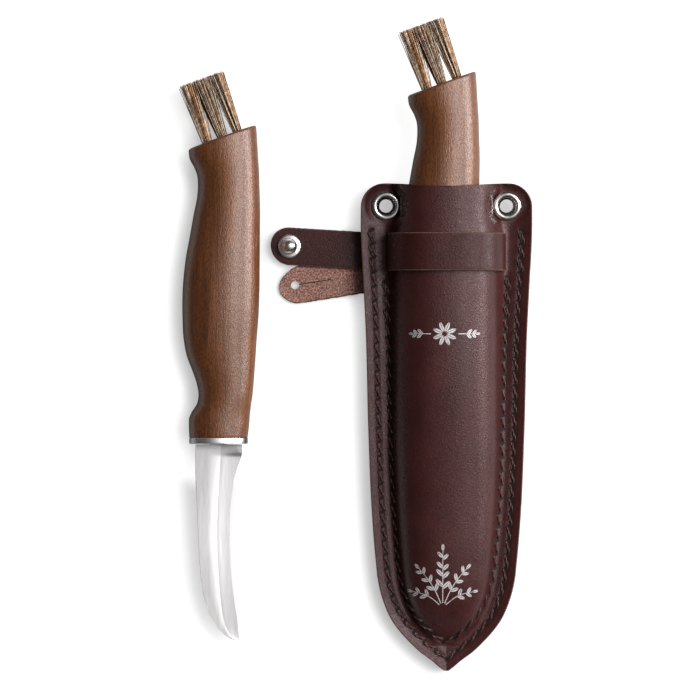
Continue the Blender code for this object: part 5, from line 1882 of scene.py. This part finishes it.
def add_strap_end(name, mesh, hinge, edge):
    """A loose end, placed from its hinge beside the sheath; gives back its place."""
    place = ON_TABLE @ Matrix.Translation(hinge)
    materials = [STRAP_LEATHER, edge, SUEDE]
    piece = add_piece(name + "_shown", mesh, place, materials, nodes=[name])
    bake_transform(piece)
    return place


def build_band():
    """The strap's fixed part, smooth side up."""
    add_piece(
        "strap_band_shown", band_mesh(), ON_TABLE, [STRAP_LEATHER, STRAP_EDGE, SUEDE],
        "sheath", ["strap_band"],
    )


def build_stud_end():
    """The end that carries the stud, smooth side up."""
    name = "strap_stud_end"
    along = STRAP_WIDTH / 2 - STUD_END_LENGTH
    spot = Vector((along, along * math.tan(-STUD_END_TILT), 0))
    mesh = strap_end_mesh(
        STUD_END_LENGTH, -STUD_END_TILT, round_nose(), strip_slots(0, 2, 1), STUD_END_RAGGED, name,
    )
    hinge = Vector((HINGE_X, stud_side_y(HINGE_X), STUD_END_Z))
    mesh = pierced(mesh, spot, SCREW_RADIUS + SEAM_GAP)
    place = add_strap_end(name, mesh, hinge, STRAP_EDGE)
    on_top = place @ Matrix.Translation((spot.x, spot.y, STRAP_THICKNESS / 2))
    for node, made in (("stud", stud_mesh()), ("stud_screw", screw_mesh())):
        add_piece(node + "_shown", made, on_top, [STUD_NICKEL], name, [node])


def build_tongue():
    """The end with the keyhole, suede side up."""
    name = "strap_tongue"
    along = KEYHOLE_FROM_TIP - TONGUE_LENGTH
    spot = Vector((along, along * math.tan(TONGUE_TILT), 0))
    mesh = strap_end_mesh(
        TONGUE_LENGTH, TONGUE_TILT, tongue_nose(), strip_slots(2, 0, 1), TONGUE_RAGGED, name,
    )
    hinge = Vector((HINGE_X, tongue_side_y(HINGE_X), TONGUE_Z))
    mesh = pierced(without(mesh, slit_cutter(spot, TONGUE_TILT)), spot, KEYHOLE_RADIUS)
    add_strap_end(name, mesh, hinge, CUT_EDGE)


build_band()
build_stud_end()
build_tongue()


# Silver prints on the front panel


def add_ribbon(shape, path, half_widths):
    """A thin strip of foil along a path, laid on the front panel."""
    rings = []
    for i, (point, half_width) in enumerate(zip(path, half_widths)):
        along = (path[min(i + 1, len(path) - 1)] - path[max(i - 1, 0)]).normalized()
        across = square_to(along) * half_width
        left, right = point + across, point - across
        rings.append([
            (spot.x, spot.y, FRONT_HEIGHT(spot.x, spot.y) + up)
            for spot, up in (
                (left, -FOIL_SINK), (right, -FOIL_SINK), (right, FOIL_STAND), (left, FOIL_STAND),
            )
        ])
    loft(rings, shape)


def add_leaf(shape, base, angle, length):
    """A pointed leaf in two halves on either side of its vein."""
    along = Vector((math.cos(angle), math.sin(angle)))
    across = square_to(along)
    for side in (-1, 1):
        path, half_widths = [], []
        for i in range(LEAF_STEPS + 1):
            t = i / LEAF_STEPS
            half = FOIL_LINE / 8
            half += LEAF_WIDTH_SHARE * length / 4 * math.sin(math.pi * t) ** LEAF_EXPONENT
            path.append(base + along * length * t + across * side * (LEAF_VEIN / 2 + half))
            half_widths.append(half)
        add_ribbon(shape, path, half_widths)


def add_sprig(shape, base, tip, bow, pairs, leaf):
    """A bowed stem with pairs of leaves that get smaller towards its tip."""
    run = tip - base
    across = square_to(run).normalized()
    stem, half_widths = [], []
    for i in range(STEM_STEPS + 1):
        t = i / STEM_STEPS
        stem.append(base + run * t + across * bow * math.sin(math.pi * t))
        half_widths.append(FOIL_LINE / 2 * (1 - STEM_TAPER_SHARE * t))
    add_ribbon(shape, stem, half_widths)
    for pair in range(pairs):
        t = (pair + SPRIG_BARE_START_SHARE) / (pairs + SPRIG_BARE_SHARE)
        index = min(int(t * STEM_STEPS), STEM_STEPS - 1)
        way = stem[index + 1] - stem[index]
        heading = math.atan2(way.y, way.x)
        for side in (-1, 1):
            start = stem[index] + (stem[index] - stem[index - 1]) * side * SPRIG_STAGGER_SHARE
            length = leaf * (1 - LEAF_TAPER_SHARE * t)
            add_leaf(shape, start, heading + side * SPRIG_LEAF_TURN, length)
    way = stem[-1] - stem[-2]
    add_leaf(shape, stem[-1], math.atan2(way.y, way.x), leaf * END_LEAF_SHARE)


def build_prints():
    """A fan of sprigs near the tip, and a rosette between two sprigs under the strap."""
    fan, rosette = bmesh.new(), bmesh.new()
    for heading, length, bow, pairs, leaf in FAN_SPRIGS:
        way = Vector((-math.sin(heading), math.cos(heading)))
        add_sprig(fan, FAN_BASE + way * FAN_START, FAN_BASE + way * length, bow, pairs, leaf)
    for petal in range(ROSETTE_PETALS):
        angle = TURN * (petal + 0.5) / ROSETTE_PETALS
        way = Vector((math.cos(angle), math.sin(angle)))
        add_leaf(rosette, ROSETTE_MIDDLE + way * ROSETTE_START, angle, ROSETTE_PETAL)
    for side in (-1, 1):
        base = ROSETTE_MIDDLE + Vector((side * ROSETTE_SPRIG_START, 0))
        tip = base + Vector((side * ROSETTE_SPRIG_LENGTH, 0))
        add_sprig(rosette, base, tip, 0, ROSETTE_SPRIG_PAIRS, ROSETTE_SPRIG_LEAF)
    for name, shape in (("sprig_print", fan), ("rosette_print", rosette)):
        add_piece(name, mesh_from(shape, name), IN_SHEATH, [FOIL], "sheath")


build_prints()
